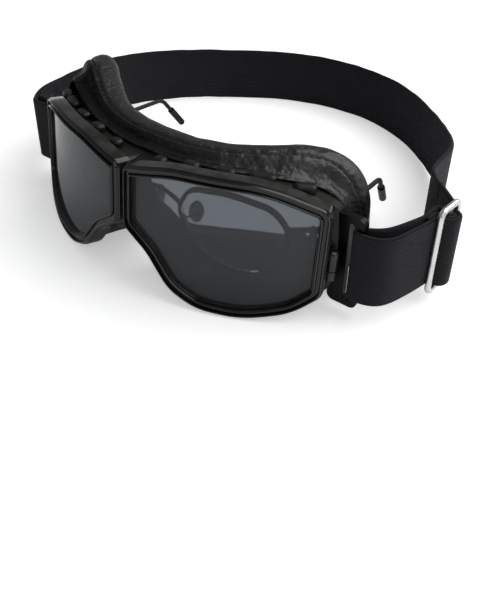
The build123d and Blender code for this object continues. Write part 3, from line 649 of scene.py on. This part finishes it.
def build_lens(side):
    """The bent lens, in rings from its edge to its middle, on both faces."""
    edge = rounded(FLOWING_CORNERS, RIM_WALL + LENS_FIT)
    long = len(edge)
    points, rows = [], []
    for out, shares in ((0.0, LENS_RINGS), (-LENS_THICKNESS, list(reversed(LENS_RINGS)))):
        for share in shares:
            rows.append(len(points))
            for spot in edge:
                place = PANEL_HUB.lerp(spot, share)
                points.append(on_panel(place.x, place.y, out))
    faces = []
    for row, following in zip(rows, rows[1:]):
        for index in range(long):
            after = (index + 1) % long
            faces.append((row + index, row + after, following + after, following + index))
    for row, out in ((rows[0], 0.0), (rows[-1], -LENS_THICKNESS)):
        hub = len(points)
        points.append(on_panel(PANEL_HUB.x, PANEL_HUB.y, out))
        faces += [(hub, row + index, row + (index + 1) % long) for index in range(long)]
    item = from_points(side + "_lens_sheet", points, faces, SMOKE)
    finish_panel_piece(item, side, "lens")


def reshape_cup(side, table):
    """A copy of a cup whose front follows the flowing outline, with the solid's own shading."""
    node = side + "_eyecup"
    flip = Vector((1 if side == "left" else -1, 1, 1))
    axes = panel_frame()
    source = nodes[node].data
    corners = [Vector(normal.vector) for normal in source.corner_normals]
    mesh = bmesh.new()
    mesh.from_mesh(source)
    shading = mesh.loops.layers.float_vector.new("shading")
    mesh.faces.ensure_lookup_table()
    for face, polygon in zip(mesh.faces, source.polygons):
        for loop, index in zip(face.loops, polygon.loop_indices):
            loop[shading] = corners[index]
    for axis, span in ((axes[0], PANEL_WIDTH), (axes[1], PANEL_HEIGHT)):
        steps = int(span / CUT_PITCH)
        for step in range(-steps, steps + 1):
            place = (PANEL_MIDDLE + axis * (step * CUT_PITCH)) * flip
            everything = [*mesh.verts, *mesh.edges, *mesh.faces]
            bmesh.ops.bisect_plane(
                mesh, geom=everything, dist=CUT_TOLERANCE, plane_co=place, plane_no=axis * flip
            )
    bmesh.ops.remove_doubles(mesh, verts=mesh.verts, dist=CUT_TOLERANCE)
    for vertex in mesh.verts:
        offset = vertex.co * flip - PANEL_MIDDLE
        across, up, out = (offset.dot(axis) for axis in axes)
        spoke = Vector((across, up)) - PANEL_HUB
        turn = math.atan2(spoke.y, spoke.x) % (2 * math.pi) / (2 * math.pi) * TURN_STEPS
        low = int(turn) % TURN_STEPS
        scale = table[low] + (table[(low + 1) % TURN_STEPS] - table[low]) * (turn - int(turn))
        behind = -out - bow(across)
        share = 1 - smooth_step(behind, *FADE_DEPTH)
        moved = PANEL_HUB + spoke * (1 + (scale - 1) * share)
        out += (bow(across) - bow(moved.x)) * share
        place = PANEL_MIDDLE + axes[0] * moved.x + axes[1] * moved.y + axes[2] * out
        place.z = max(place.z, 0.0)
        vertex.co = place * flip
    data = bpy.data.meshes.new(node + "_flowing")
    mesh.to_mesh(data)
    mesh.free()
    layer = data.attributes["shading"].data
    kept = [Vector(layer[index].vector).normalized() for index in range(len(data.loops))]
    data.attributes.remove(data.attributes["shading"])
    data.polygons.foreach_set("use_smooth", [True] * len(data.polygons))
    data.normals_split_custom_set(kept)
    data.materials.append(RUBBER)
    dress(add_object(node + "_flowing", data), node)


# Face cushion. Stations run from the middle outwards: distance from the middle, depth behind the
# bridge and height of the upper arm, depth and height of the lower arm, all in millimetres.
CUSHION_STATIONS = [
    (0.0, 28.2, 54.2, 21.0, 26.2),
    (8.5, 28.5, 54.2, 27.5, 15.0),
    (20.0, 29.9, 54.5, 38.7, 9.4),
    (31.5, 33.2, 54.9, 47.0, 7.4),
    (46.0, 41.8, 55.5, 54.5, 6.6),
    (58.0, 51.0, 54.9, 59.3, 6.6),
    (66.0, 56.0, 52.1, 60.8, 8.6),
    (71.8, 58.0, 45.2, 61.0, 14.5),
]
CUSHION_SIDE = (74.5, 59.0, 30.0)
CUSHION_HALF = 6.3 * MM
NOSE_SLIM = 0.40
NOSE_REACH = 60.0 * MM  # from here inwards the lower arm grows slimmer
BRIDGE_HALF = 12 * MM  # nearer the middle than this, outward is told by height
TEMPLE_FROM = 60.0 * MM
TEMPLE_NOTCH_HEIGHT = 33.0 * MM
NOTCH_HALF_HEIGHT = 7.0 * MM
NOTCH_BITE = 0.20

# Section of the padded roll in half thicknesses, outwards and towards the front: from where the
# skirt is sewn on, round the inside and the crown, to the outer seam.
CUSHION_ROLL = [
    (0.55, 0.80),
    (-0.10, 0.86),
    (-0.72, 0.76),
    (-0.98, 0.45),
    (-1.04, 0.00),
    (-0.94, -0.52),
    (-0.58, -0.96),
    (0.00, -1.12),
    (0.58, -0.96),
    (0.95, -0.50),
    (1.04, 0.02),
    (1.00, 0.42),
    (0.84, 0.60),
]
SEAM_KNOT = len(CUSHION_ROLL) - 1  # the outer seam is the last point of the roll
# The skirt then runs forwards over the cup: how far forward, in half thicknesses, and how high
# over the cup's wall, in millimetres. It turns under at its edge and comes back.
CUSHION_SKIRT = [
    (0.80, 2.4),
    (1.10, 2.3),
    (1.50, 1.9),
    (1.95, 1.6),
    (2.22, 1.1),
    (2.28, 0.5),
    (2.15, 0.2),
    (1.60, 0.2),
    (1.00, 0.2),
]
SKIRT_REACH = (1.45, 2.25)  # how far forward it reaches, in the middle and at the sides
SKIRT_WIDENS = 50.0 * MM  # where it has widened to the second
RING_STEPS = 13
SECTION_STEPS = 4
SKIRT_TURN = 5  # the row from which the skirt is turned under
SEAM_FADE = (0.8, 2.0)  # where the skirt leaves the height of the seam, in half thicknesses
SEAM_HOLD = 0.98
TUCK_LIMIT = 0.9
WALL_START = 3.0  # how far out the search for the cup's wall begins, in half thicknesses
WALL_SEARCH = 3.2
WALL_WINDOW = 9  # how many places of the ring the wall's height is evened over
WALL_PASSES = 8
LOBE_LIFT = 8.5 * MM  # the far lobe stands higher in the photograph
LOBE_PLACE = -64 * MM
LOBE_SPREAD = 26 * MM
LOBE_RISE = (26 * MM, 56 * MM)  # the heights between which it grows
SWELLS = ((0.40, 17 * MM, 3.0), (0.20, 6 * MM, 7.0))  # height in millimetres, size and seed
PUCKER = (0.26, 2.4 * MM, 11.0)  # the same, for the puckers beside the seam
PUCKER_PLACE = 0.75
PUCKER_SPREAD = 0.6
PUCKER_INSIDE = 0.2
SWELL_AHEAD = 0.3  # how much of the way forwards counts in the direction of the swelling
FLOOR_GAP = 0.1 * MM
ROUND_LENGTH = 8.0 * CUSHION_HALF  # the section's length on the UV map


def cushion_ring():
    """Middle line of the cushion, all the way round from the nose."""
    def place(across, back, up):
        return Vector((across * MM, BRIDGE_Y + back * MM, up * MM))

    upper = [place(x, back, up) for x, back, up, _, _ in CUSHION_STATIONS]
    lower = [place(x, back, up) for x, _, _, back, up in CUSHION_STATIONS]
    half = [*lower, place(*CUSHION_SIDE), *reversed(upper)]
    mirrored = [Vector((-point.x, point.y, point.z)) for point in reversed(half[1:-1])]
    return smooth_loop([*half, *mirrored], RING_STEPS)


def cushion_frames(ring):
    """For each point of the ring: place, outward and forward directions, half thickness, bite."""
    count = len(ring)
    middle = sum(ring, Vector()) / count
    frames = []
    for index, place in enumerate(ring):
        along = (ring[(index + 1) % count] - ring[index - 1]).normalized()
        ahead = (Vector((0, -1, 0)) + along * along.y).normalized()
        outward = ahead.cross(along)
        above = place.z - CUSHION_SIDE[2] * MM
        aside = abs(place.x)
        inward = outward.z * above <= 0 if aside <= BRIDGE_HALF else outward.dot(place - middle) < 0
        if inward:
            outward = -outward
        near_nose = max(0.0, 1 - aside / NOSE_REACH) if above < 0 else 0.0
        half = CUSHION_HALF * (1 - NOSE_SLIM * near_nose)
        beside = (place.z - TEMPLE_NOTCH_HEIGHT) / NOTCH_HALF_HEIGHT
        bite = NOTCH_BITE * math.exp(-beside * beside) if aside > TEMPLE_FROM else 0.0
        frames.append((place, outward, ahead, half, bite))
    return frames


def skirt_front(place, front):
    """How far forward a row of the skirt lies, in half thicknesses."""
    sides = min(abs(place.x) / SKIRT_WIDENS, 1.0)
    reach = SKIRT_REACH[0] + (SKIRT_REACH[1] - SKIRT_REACH[0]) * sides
    full = max(row for row, _ in CUSHION_SKIRT)
    first = CUSHION_SKIRT[0][0]
    return first + (front - first) * (reach - first) / (full - first)


def wall_heights(frames):
    """How far out the cup's wall lies beside each row of the skirt, evened along the ring."""
    mesh = bmesh.new()
    for name in ("left_eyecup", "right_eyecup", "bridge_block"):
        mesh.from_mesh(nodes[name].data)
    walls = BVHTree.FromBMesh(mesh)
    mesh.free()
    rows = []
    for front, _ in CUSHION_SKIRT:
        found = []
        for place, outward, ahead, half, _ in frames:
            start = place + ahead * (skirt_front(place, front) * half) + outward * (WALL_START * half)
            hit = walls.ray_cast(start, -outward, WALL_SEARCH * half)[0]
            found.append((hit - place).dot(outward) if hit else None)
        count = len(found)
        known = [value for value in found if value is not None]
        fallback = sum(known) / len(known)
        evened = []
        for index in range(count):
            window = [found[(index + step) % count] for step in range(-WALL_WINDOW, WALL_WINDOW + 1)]
            window = sorted(value for value in window if value is not None)
            evened.append(window[len(window) // 2] if window else fallback)
        for _ in range(WALL_PASSES):
            evened = [
                (evened[index - 1] + evened[index] * 2 + evened[(index + 1) % count]) / 4
                for index in range(count)
            ]
        rows.append(evened)
    return rows


def lobe_lift(point):
    """How much higher the far lobe of the cushion stands at a point."""
    aside = (point.x - LOBE_PLACE) / LOBE_SPREAD
    return LOBE_LIFT * smooth_step(point.z, *LOBE_RISE) * math.exp(-aside * aside)


def rumple(point, size, seed):
    """A smooth wave in space."""
    return noise.noise(point / size + Vector((seed, seed, seed)))


def build_cushion():
    """The padded leather ring with its seam, and the skirt that covers the cup's rear edge."""
    ring = cushion_ring()
    frames = cushion_frames(ring)
    walls = wall_heights(frames)
    count = len(frames)
    rings = []
    for turn, (place, _, _, half, bite) in enumerate(frames):
        knots = []
        for across, front in CUSHION_ROLL:
            across *= 1 - bite if across < 0 else 1
            front *= 1 - 2 * bite if front < 0 else 1
            knots.append((across * half, front * half, 0))
        for row, (front, over) in enumerate(CUSHION_SKIRT):
            reach = walls[row][turn] + over * MM
            if row < SKIRT_TURN:
                seam_share = 1 - smooth_step(front, *SEAM_FADE)
                reach = max(reach, SEAM_HOLD * half * seam_share)
            else:
                reach = min(reach, TUCK_LIMIT * half)
            knots.append((reach, skirt_front(place, front) * half, 0))
        rings.append(knots)
    points, seam = [], []
    width = len(rings[0]) * SECTION_STEPS
    for turn, (place, outward, ahead, half, _) in enumerate(frames):
        section = smooth_loop(rings[turn], SECTION_STEPS)
        for spot in section:
            point = place + outward * spot.x + ahead * spot.y
            front = spot.y / half
            away = (outward * spot.x + ahead * min(spot.y, SWELL_AHEAD * half)).normalized()
            swell = sum(height * rumple(point, size, seed) for height, size, seed in SWELLS)
            beside = (front - PUCKER_PLACE) / PUCKER_SPREAD
            near_seam = math.exp(-(beside**2)) if spot.x > 0 else PUCKER_INSIDE
            pucker = PUCKER[0] * rumple(point, *PUCKER[1:]) * near_seam
            point += away * (swell + pucker) * MM
            point.z = max(point.z + lobe_lift(point), FLOOR_GAP)
            points.append(point)
        seam.append(points[-width + SEAM_KNOT * SECTION_STEPS])
    faces = []
    for turn in range(count):
        following = (turn + 1) % count
        for step in range(width):
            after = (step + 1) % width
            corners = (turn, step), (turn, after), (following, after), (following, step)
            faces.append(tuple(row * width + column for row, column in corners))
    cushion = from_points("cushion_leather", points, faces, LEATHER)
    layer = cushion.data.uv_layers.new(name="around")
    long = sum((seam[(index + 1) % count] - seam[index]).length for index in range(count))
    for polygon in cushion.data.polygons:
        turns = [cushion.data.loops[index].vertex_index // width for index in polygon.loop_indices]
        steps = [cushion.data.loops[index].vertex_index % width for index in polygon.loop_indices]
        for index, turn, step in zip(polygon.loop_indices, turns, steps):
            turn += count if max(turns) - turn > count / 2 else 0
            step += width if max(steps) - step > width / 2 else 0
            layer.data[index].uv = (turn / count * long, step / width * ROUND_LENGTH)
    face_outwards(cushion)
    dress(cushion, "face_cushion")
    return seam, frames


STITCH_PITCH = 3.0 * MM
STITCH_LENGTH = 1.9 * MM
STITCH_LOOK = 0.1 * MM  # how far ahead the thread's direction is read
STITCH_RINGS = 5
STITCH_RISE = (0.10 * MM, 0.30 * MM)  # over the seam at its ends, and how much more in its middle
THREAD_RADIUS = 0.26 * MM
THREAD_TAPER = 0.35  # share of the radius that is left at a stitch's ends
THREAD_SIDES = 6
THREAD_LEAN = (0.8, 0.2)  # outwards and forwards


def build_stitches(seam, frames):
    """Thread along the seam groove, one short arch for each stitch."""
    count = len(seam)
    steps = [(seam[(index + 1) % count] - seam[index]).length for index in range(count)]
    total = sum(steps)
    number = round(total / STITCH_PITCH)
    points, faces = [], []

    def at(distance):
        """A place on the seam, and the way out from it."""
        distance %= total
        index = 0
        while distance > steps[index]:
            distance -= steps[index]
            index += 1
        share = distance / steps[index]
        following = (index + 1) % count
        _, outward, ahead, _, _ = frames[index]
        lift = (outward * THREAD_LEAN[0] + ahead * THREAD_LEAN[1]).normalized()
        return seam[index].lerp(seam[following], share), lift

    for stitch in range(number):
        start = stitch * total / number
        for ring in range(STITCH_RINGS):
            share = ring / (STITCH_RINGS - 1)
            spot, lift = at(start + share * STITCH_LENGTH)
            ahead_spot, _ = at(start + share * STITCH_LENGTH + STITCH_LOOK)
            along = (ahead_spot - spot).normalized()
            side = along.cross(lift).normalized()
            arch = math.sin(math.pi * share)
            middle = spot + lift * (STITCH_RISE[0] + STITCH_RISE[1] * arch)
            radius = THREAD_RADIUS * (THREAD_TAPER + (1 - THREAD_TAPER) * arch)
            for corner in range(THREAD_SIDES):
                turn = 2 * math.pi * corner / THREAD_SIDES
                points.append(middle + (side * math.cos(turn) + lift * math.sin(turn)) * radius)
        base = stitch * THREAD_SIDES * STITCH_RINGS
        last = base + (STITCH_RINGS - 1) * THREAD_SIDES
        for low in range(base, last, THREAD_SIDES):
            high = low + THREAD_SIDES
            for corner in range(THREAD_SIDES):
                after = (corner + 1) % THREAD_SIDES
                faces.append((low + corner, low + after, high + after, high + corner))
        faces.append(tuple(base + corner for corner in reversed(range(THREAD_SIDES))))
        faces.append(tuple(last + corner for corner in range(THREAD_SIDES)))
    stitches = from_points("cushion_stitches", points, faces, THREAD)
    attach(stitches, "goggles")


# Vent hoods
HOOD_VOXEL = 0.35 * MM
HOOD_PASSES = 9
HOOD_EASE = 0.5
HOOD_SINK = 0.2 * MM


def soften_hoods(side):
    """The moulded hoods with the soft rounding that rubber has."""
    node = side + "_vent_hoods"
    mesh = bmesh.new()
    mesh.from_mesh(nodes[node].data)
    bmesh.ops.remove_doubles(mesh, verts=mesh.verts, dist=MERGE_DISTANCE)
    data = bpy.data.meshes.new(side + "_soft_hoods")
    mesh.to_mesh(data)
    mesh.free()
    hoods = add_object(side + "_soft_hoods", data)
    remesh = hoods.modifiers.new("even", "REMESH")
    remesh.mode = "VOXEL"
    remesh.voxel_size = HOOD_VOXEL
    ease = hoods.modifiers.new("ease", "SMOOTH")
    ease.factor = HOOD_EASE
    ease.iterations = HOOD_PASSES
    apply_modifiers(hoods)
    for vertex in hoods.data.vertices:
        vertex.co.z -= HOOD_SINK
    finish_mesh(hoods.data, RUBBER)
    dress(hoods, node)


# Webbing
WEBBING_WIDTH = 32.0 * MM
WEBBING_THICKNESS = 1.8 * MM
WEBBING_STEP = 0.5 * MM
WEBBING_ROWS = 15
WEBBING_ROUND = 0.42 * WEBBING_THICKNESS
ROUND_SEGMENTS = 3
ROUND_PROFILE = 0.6
LINE_PITCH = 0.5 * MM
WAVE_SIZE = (9 * MM, 40 * MM)  # of the slight waves of its edges, along and across
WAVE_SEED = 5.0
WAVE_DEPTH = 0.12 * MM
WAVE_WIDTH = 0.25 * MM
CORNER_TURN = math.radians(60)
STRAP_HELD_X, STRAP_HELD_Y = -99 * MM, -52 * MM
LOOP_HELD_X, LOOP_HELD_Y = 88.6 * MM, -38 * MM
STRAP_PASSES = 260
LOOP_PASSES = 220
UPWARD = 0.7  # a face that looks up more than this is the band's top
LEVEL = 0.5


def top_outline(node):
    """Corner points of a band's upper face, in order, read from its solid."""
    mesh = bmesh.new()
    mesh.from_mesh(nodes[node].data)
    bmesh.ops.remove_doubles(mesh, verts=mesh.verts, dist=MERGE_DISTANCE)
    bmesh.ops.recalc_face_normals(mesh, faces=mesh.faces)
    links = {}
    for edge in mesh.edges:
        heights = sorted(face.normal.z for face in edge.link_faces)
        if len(heights) == 2 and heights[1] > UPWARD and abs(heights[0]) < LEVEL:
            first, second = edge.verts
            links.setdefault(first.index, []).append(second.index)
            links.setdefault(second.index, []).append(first.index)
    mesh.verts.ensure_lookup_table()
    start = next(iter(links))
    order, before = [start], None
    while True:
        steps = [index for index in links[order[-1]] if index != before]
        before = order[-1]
        if not steps or steps[0] == start:
            break
        order.append(steps[0])
    points = [mesh.verts[index].co.copy() for index in order]
    mesh.free()
    return points


def band_line(node):
    """Middle line of a band's upper face, halfway through its thickness."""
    outline = top_outline(node)
    count = len(outline)
    sharp = []
    for index in range(count):
        first = (outline[index] - outline[index - 1]).to_2d()
        second = (outline[(index + 1) % count] - outline[index]).to_2d()
        if first.length > 0 and second.length > 0 and first.angle(second) > CORNER_TURN:
            sharp.append(index)
    runs = []
    for first, second in zip(sharp, [*sharp[1:], sharp[0] + count]):
        runs.append([outline[index % count] for index in range(first, second + 1)])
    runs.sort(key=lambda run: sum((b - a).length for a, b in zip(run, run[1:])))
    wall = runs[-1]
    tail = runs[0]
    across = (tail[-1] - tail[0]).normalized()
    toward = wall[1] - wall[0]
    turn = Vector((-toward.y, toward.x, 0)).normalized()
    inner = tail[0] if (tail[0] - wall[0]).length > (tail[-1] - wall[0]).length else tail[-1]
    side = 1 if turn.dot(inner - wall[0]) > 0 else -1
    middle = []
    for index, point in enumerate(wall):
        before = wall[max(index - 1, 0)]
        after = wall[min(index + 1, len(wall) - 1)]
        along = (after - before).to_3d()
        normal = Vector((-along.y, along.x, 0)).normalized() * side
        middle.append(point + normal * WEBBING_THICKNESS / 2 - Vector((0, 0, WEBBING_WIDTH / 2)))
    return middle


def evenly(line, pitch):
    """The same line with points at an even pitch."""
    lengths = [(b - a).length for a, b in zip(line, line[1:])]
    number = round(sum(lengths) / pitch)
    step = sum(lengths) / number
    points, index, gone = [line[0]], 0, 0.0
    for mark in range(1, number):
        while gone + lengths[index] < mark * step:
            gone += lengths[index]
            index += 1
        points.append(line[index].lerp(line[index + 1], (mark * step - gone) / lengths[index]))
    return [*points, line[-1]]


def relaxed(line, held, passes):
    """The line with its free spans eased, and the spans round the bars as they are."""
    points = evenly(line, LINE_PITCH)
    free = [not held(point) for point in points]
    for _ in range(passes):
        points = [
            (points[index - 1] + point * 2 + points[index + 1]) / 4
            if 0 < index < len(points) - 1 and free[index]
            else point
            for index, point in enumerate(points)
        ]
    return points


def long_edges(mesh, axis, least):
    """The edges that reach further than this along one axis."""
    return [edge for edge in mesh.edges if abs(edge.verts[0].co[axis] - edge.verts[1].co[axis]) > least]


def strap_held(point):
    """Where the strap folds round the far lug."""
    return point.y < STRAP_HELD_Y and point.x > STRAP_HELD_X


def loop_held(point):
    """Where the loop folds round the slider's bar and the near lug."""
    return point.y > LOOP_HELD_Y or point.x < LOOP_HELD_X


def build_webbing(name, node, held, passes):
    """A straight band with rounded edges, bent along the line of its solid."""
    line = relaxed(band_line(node), held, passes)
    length = sum((b - a).length for a, b in zip(line, line[1:]))
    bpy.ops.mesh.primitive_cube_add(size=1, location=(length / 2, 0, 0))
    band = bpy.context.object
    band.name = name
    band.scale = (length, WEBBING_THICKNESS, WEBBING_WIDTH)
    bpy.ops.object.transform_apply(location=True, rotation=True, scale=True)
    mesh = bmesh.new()
    mesh.from_mesh(band.data)
    longways = long_edges(mesh, 0, length / 2)
    bmesh.ops.bevel(
        mesh,
        geom=longways,
        offset=WEBBING_ROUND,
        segments=ROUND_SEGMENTS,
        affect="EDGES",
        profile=ROUND_PROFILE,
    )
    for axis, reach, cuts in ((0, length, int(length / WEBBING_STEP)), (2, WEBBING_WIDTH, WEBBING_ROWS)):
        edges = long_edges(mesh, axis, reach / 2)
        bmesh.ops.subdivide_edges(mesh, edges=edges, cuts=cuts, use_grid_fill=True)
    layer = mesh.loops.layers.uv.verify()
    for face in mesh.faces:
        for loop in face.loops:
            loop[layer].uv = (loop.vert.co.x, loop.vert.co.z)
    for vertex in mesh.verts:
        edge_share = abs(vertex.co.z) / (WEBBING_WIDTH / 2)
        wave = noise.noise(Vector((vertex.co.x / WAVE_SIZE[0], vertex.co.z / WAVE_SIZE[1], WAVE_SEED)))
        vertex.co.y += wave * WAVE_DEPTH * edge_share
        vertex.co.z += wave * WAVE_WIDTH * edge_share
    mesh.to_mesh(band.data)
    mesh.free()
    curve = bpy.data.curves.new("band_guide", "CURVE")
    curve.dimensions = "3D"
    curve.twist_mode = "Z_UP"
    path = curve.splines.new("POLY")
    path.points.add(len(line) - 1)
    for knot, point in zip(path.points, line):
        knot.co = (*point, 1)
    guide = add_object("band_guide", curve)
    bend = band.modifiers.new("bend", "CURVE")
    bend.object = guide
    bend.deform_axis = "POS_X"
    apply_modifiers(band)
    bpy.data.objects.remove(guide)
    finish_mesh(band.data, WEBBING)
    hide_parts(node)
    return band


# Stage and light
FLOOR_GLOW = 0.42
FLOOR_SIZE = 6.0
FLOOR_HEIGHT = -0.2 * MM
ROOM_COLOR = (0.96, 0.98, 1.0, 1)
ROOM_STRENGTH = 0.26
LAMPS = [
    ("key_lamp", (0.65, 0.60, 1.10), (0, 0, 0), 1.7, 24.0),
    ("front_lamp", (0.8, -0.8, 0.7), (0, 0, 0.03), 1.0, 2.4),
]  # place, target, size and power


def seen_rays(tree):
    """One for camera rays and those through glass, and zero for light and reflections."""
    rays = tree.nodes.new("ShaderNodeLightPath")
    either = tree.nodes.new("ShaderNodeMath")
    either.operation = "MAXIMUM"
    tree.links.new(rays.outputs["Is Camera Ray"], either.inputs[0])
    tree.links.new(rays.outputs["Is Transmission Ray"], either.inputs[1])
    return either.outputs["Value"]


def add_stage():
    """A white floor that keeps the soft shadow."""
    bpy.ops.mesh.primitive_plane_add(size=FLOOR_SIZE, location=(0, 0, FLOOR_HEIGHT))
    floor = bpy.context.object
    floor.name = "studio_floor"
    made = Finish("studio_white")
    made.set(Base_Color=(0.93, 0.93, 0.93), Roughness=0.9, Specular_IOR_Level=0.1)
    made.set(Emission_Color=(1.0, 1.0, 1.0))
    made.set(Emission_Strength=made.math("MULTIPLY", seen_rays(made.tree), FLOOR_GLOW))
    floor.data.materials.append(made.material)


def add_area(name, place, target, size, power):
    """A soft square lamp that looks at a point."""
    data = bpy.data.lights.new(name, "AREA")
    data.size = size
    data.energy = power
    lamp = add_object(name, data)
    direction = Vector(target) - Vector(place)
    turned = direction.to_track_quat("-Z", "Y").to_matrix().to_4x4()
    lamp.matrix_world = Matrix.Translation(place) @ turned


def add_light():
    """A pale room and two soft lamps."""
    world = bpy.data.worlds.new("studio_world")
    bpy.context.scene.world = world
    world.use_nodes = True
    tree = world.node_tree
    room = tree.nodes["Background"]
    room.inputs["Color"].default_value = ROOM_COLOR
    room.inputs["Strength"].default_value = ROOM_STRENGTH
    white = tree.nodes.new("ShaderNodeBackground")
    white.inputs["Color"].default_value = (1.0, 1.0, 1.0, 1)
    mix = tree.nodes.new("ShaderNodeMixShader")
    tree.links.new(seen_rays(tree), mix.inputs["Fac"])
    tree.links.new(room.outputs["Background"], mix.inputs[1])
    tree.links.new(white.outputs["Background"], mix.inputs[2])
    tree.links.new(mix.outputs["Shader"], tree.nodes["World Output"].inputs["Surface"])
    for lamp in LAMPS:
        add_area(*lamp)


add_camera()
finish_nodes()
deselect()
ring_seam, ring_frames = build_cushion()
build_stitches(ring_seam, ring_frames)
stretches = stretch_table()
for side in SIDES:
    build_rim(side)
    build_gasket(side)
    build_lens(side)
    reshape_cup(side, stretches)
    soften_hoods(side)
strap = build_webbing(
    "strap_webbing", "head_strap", strap_held, STRAP_PASSES
)
loop = build_webbing(
    "loop_webbing", "adjuster_loop", loop_held, LOOP_PASSES
)
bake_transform(strap)
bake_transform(loop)
add_stage()
add_light()
bpy.context.scene.view_settings.view_transform = "Standard"
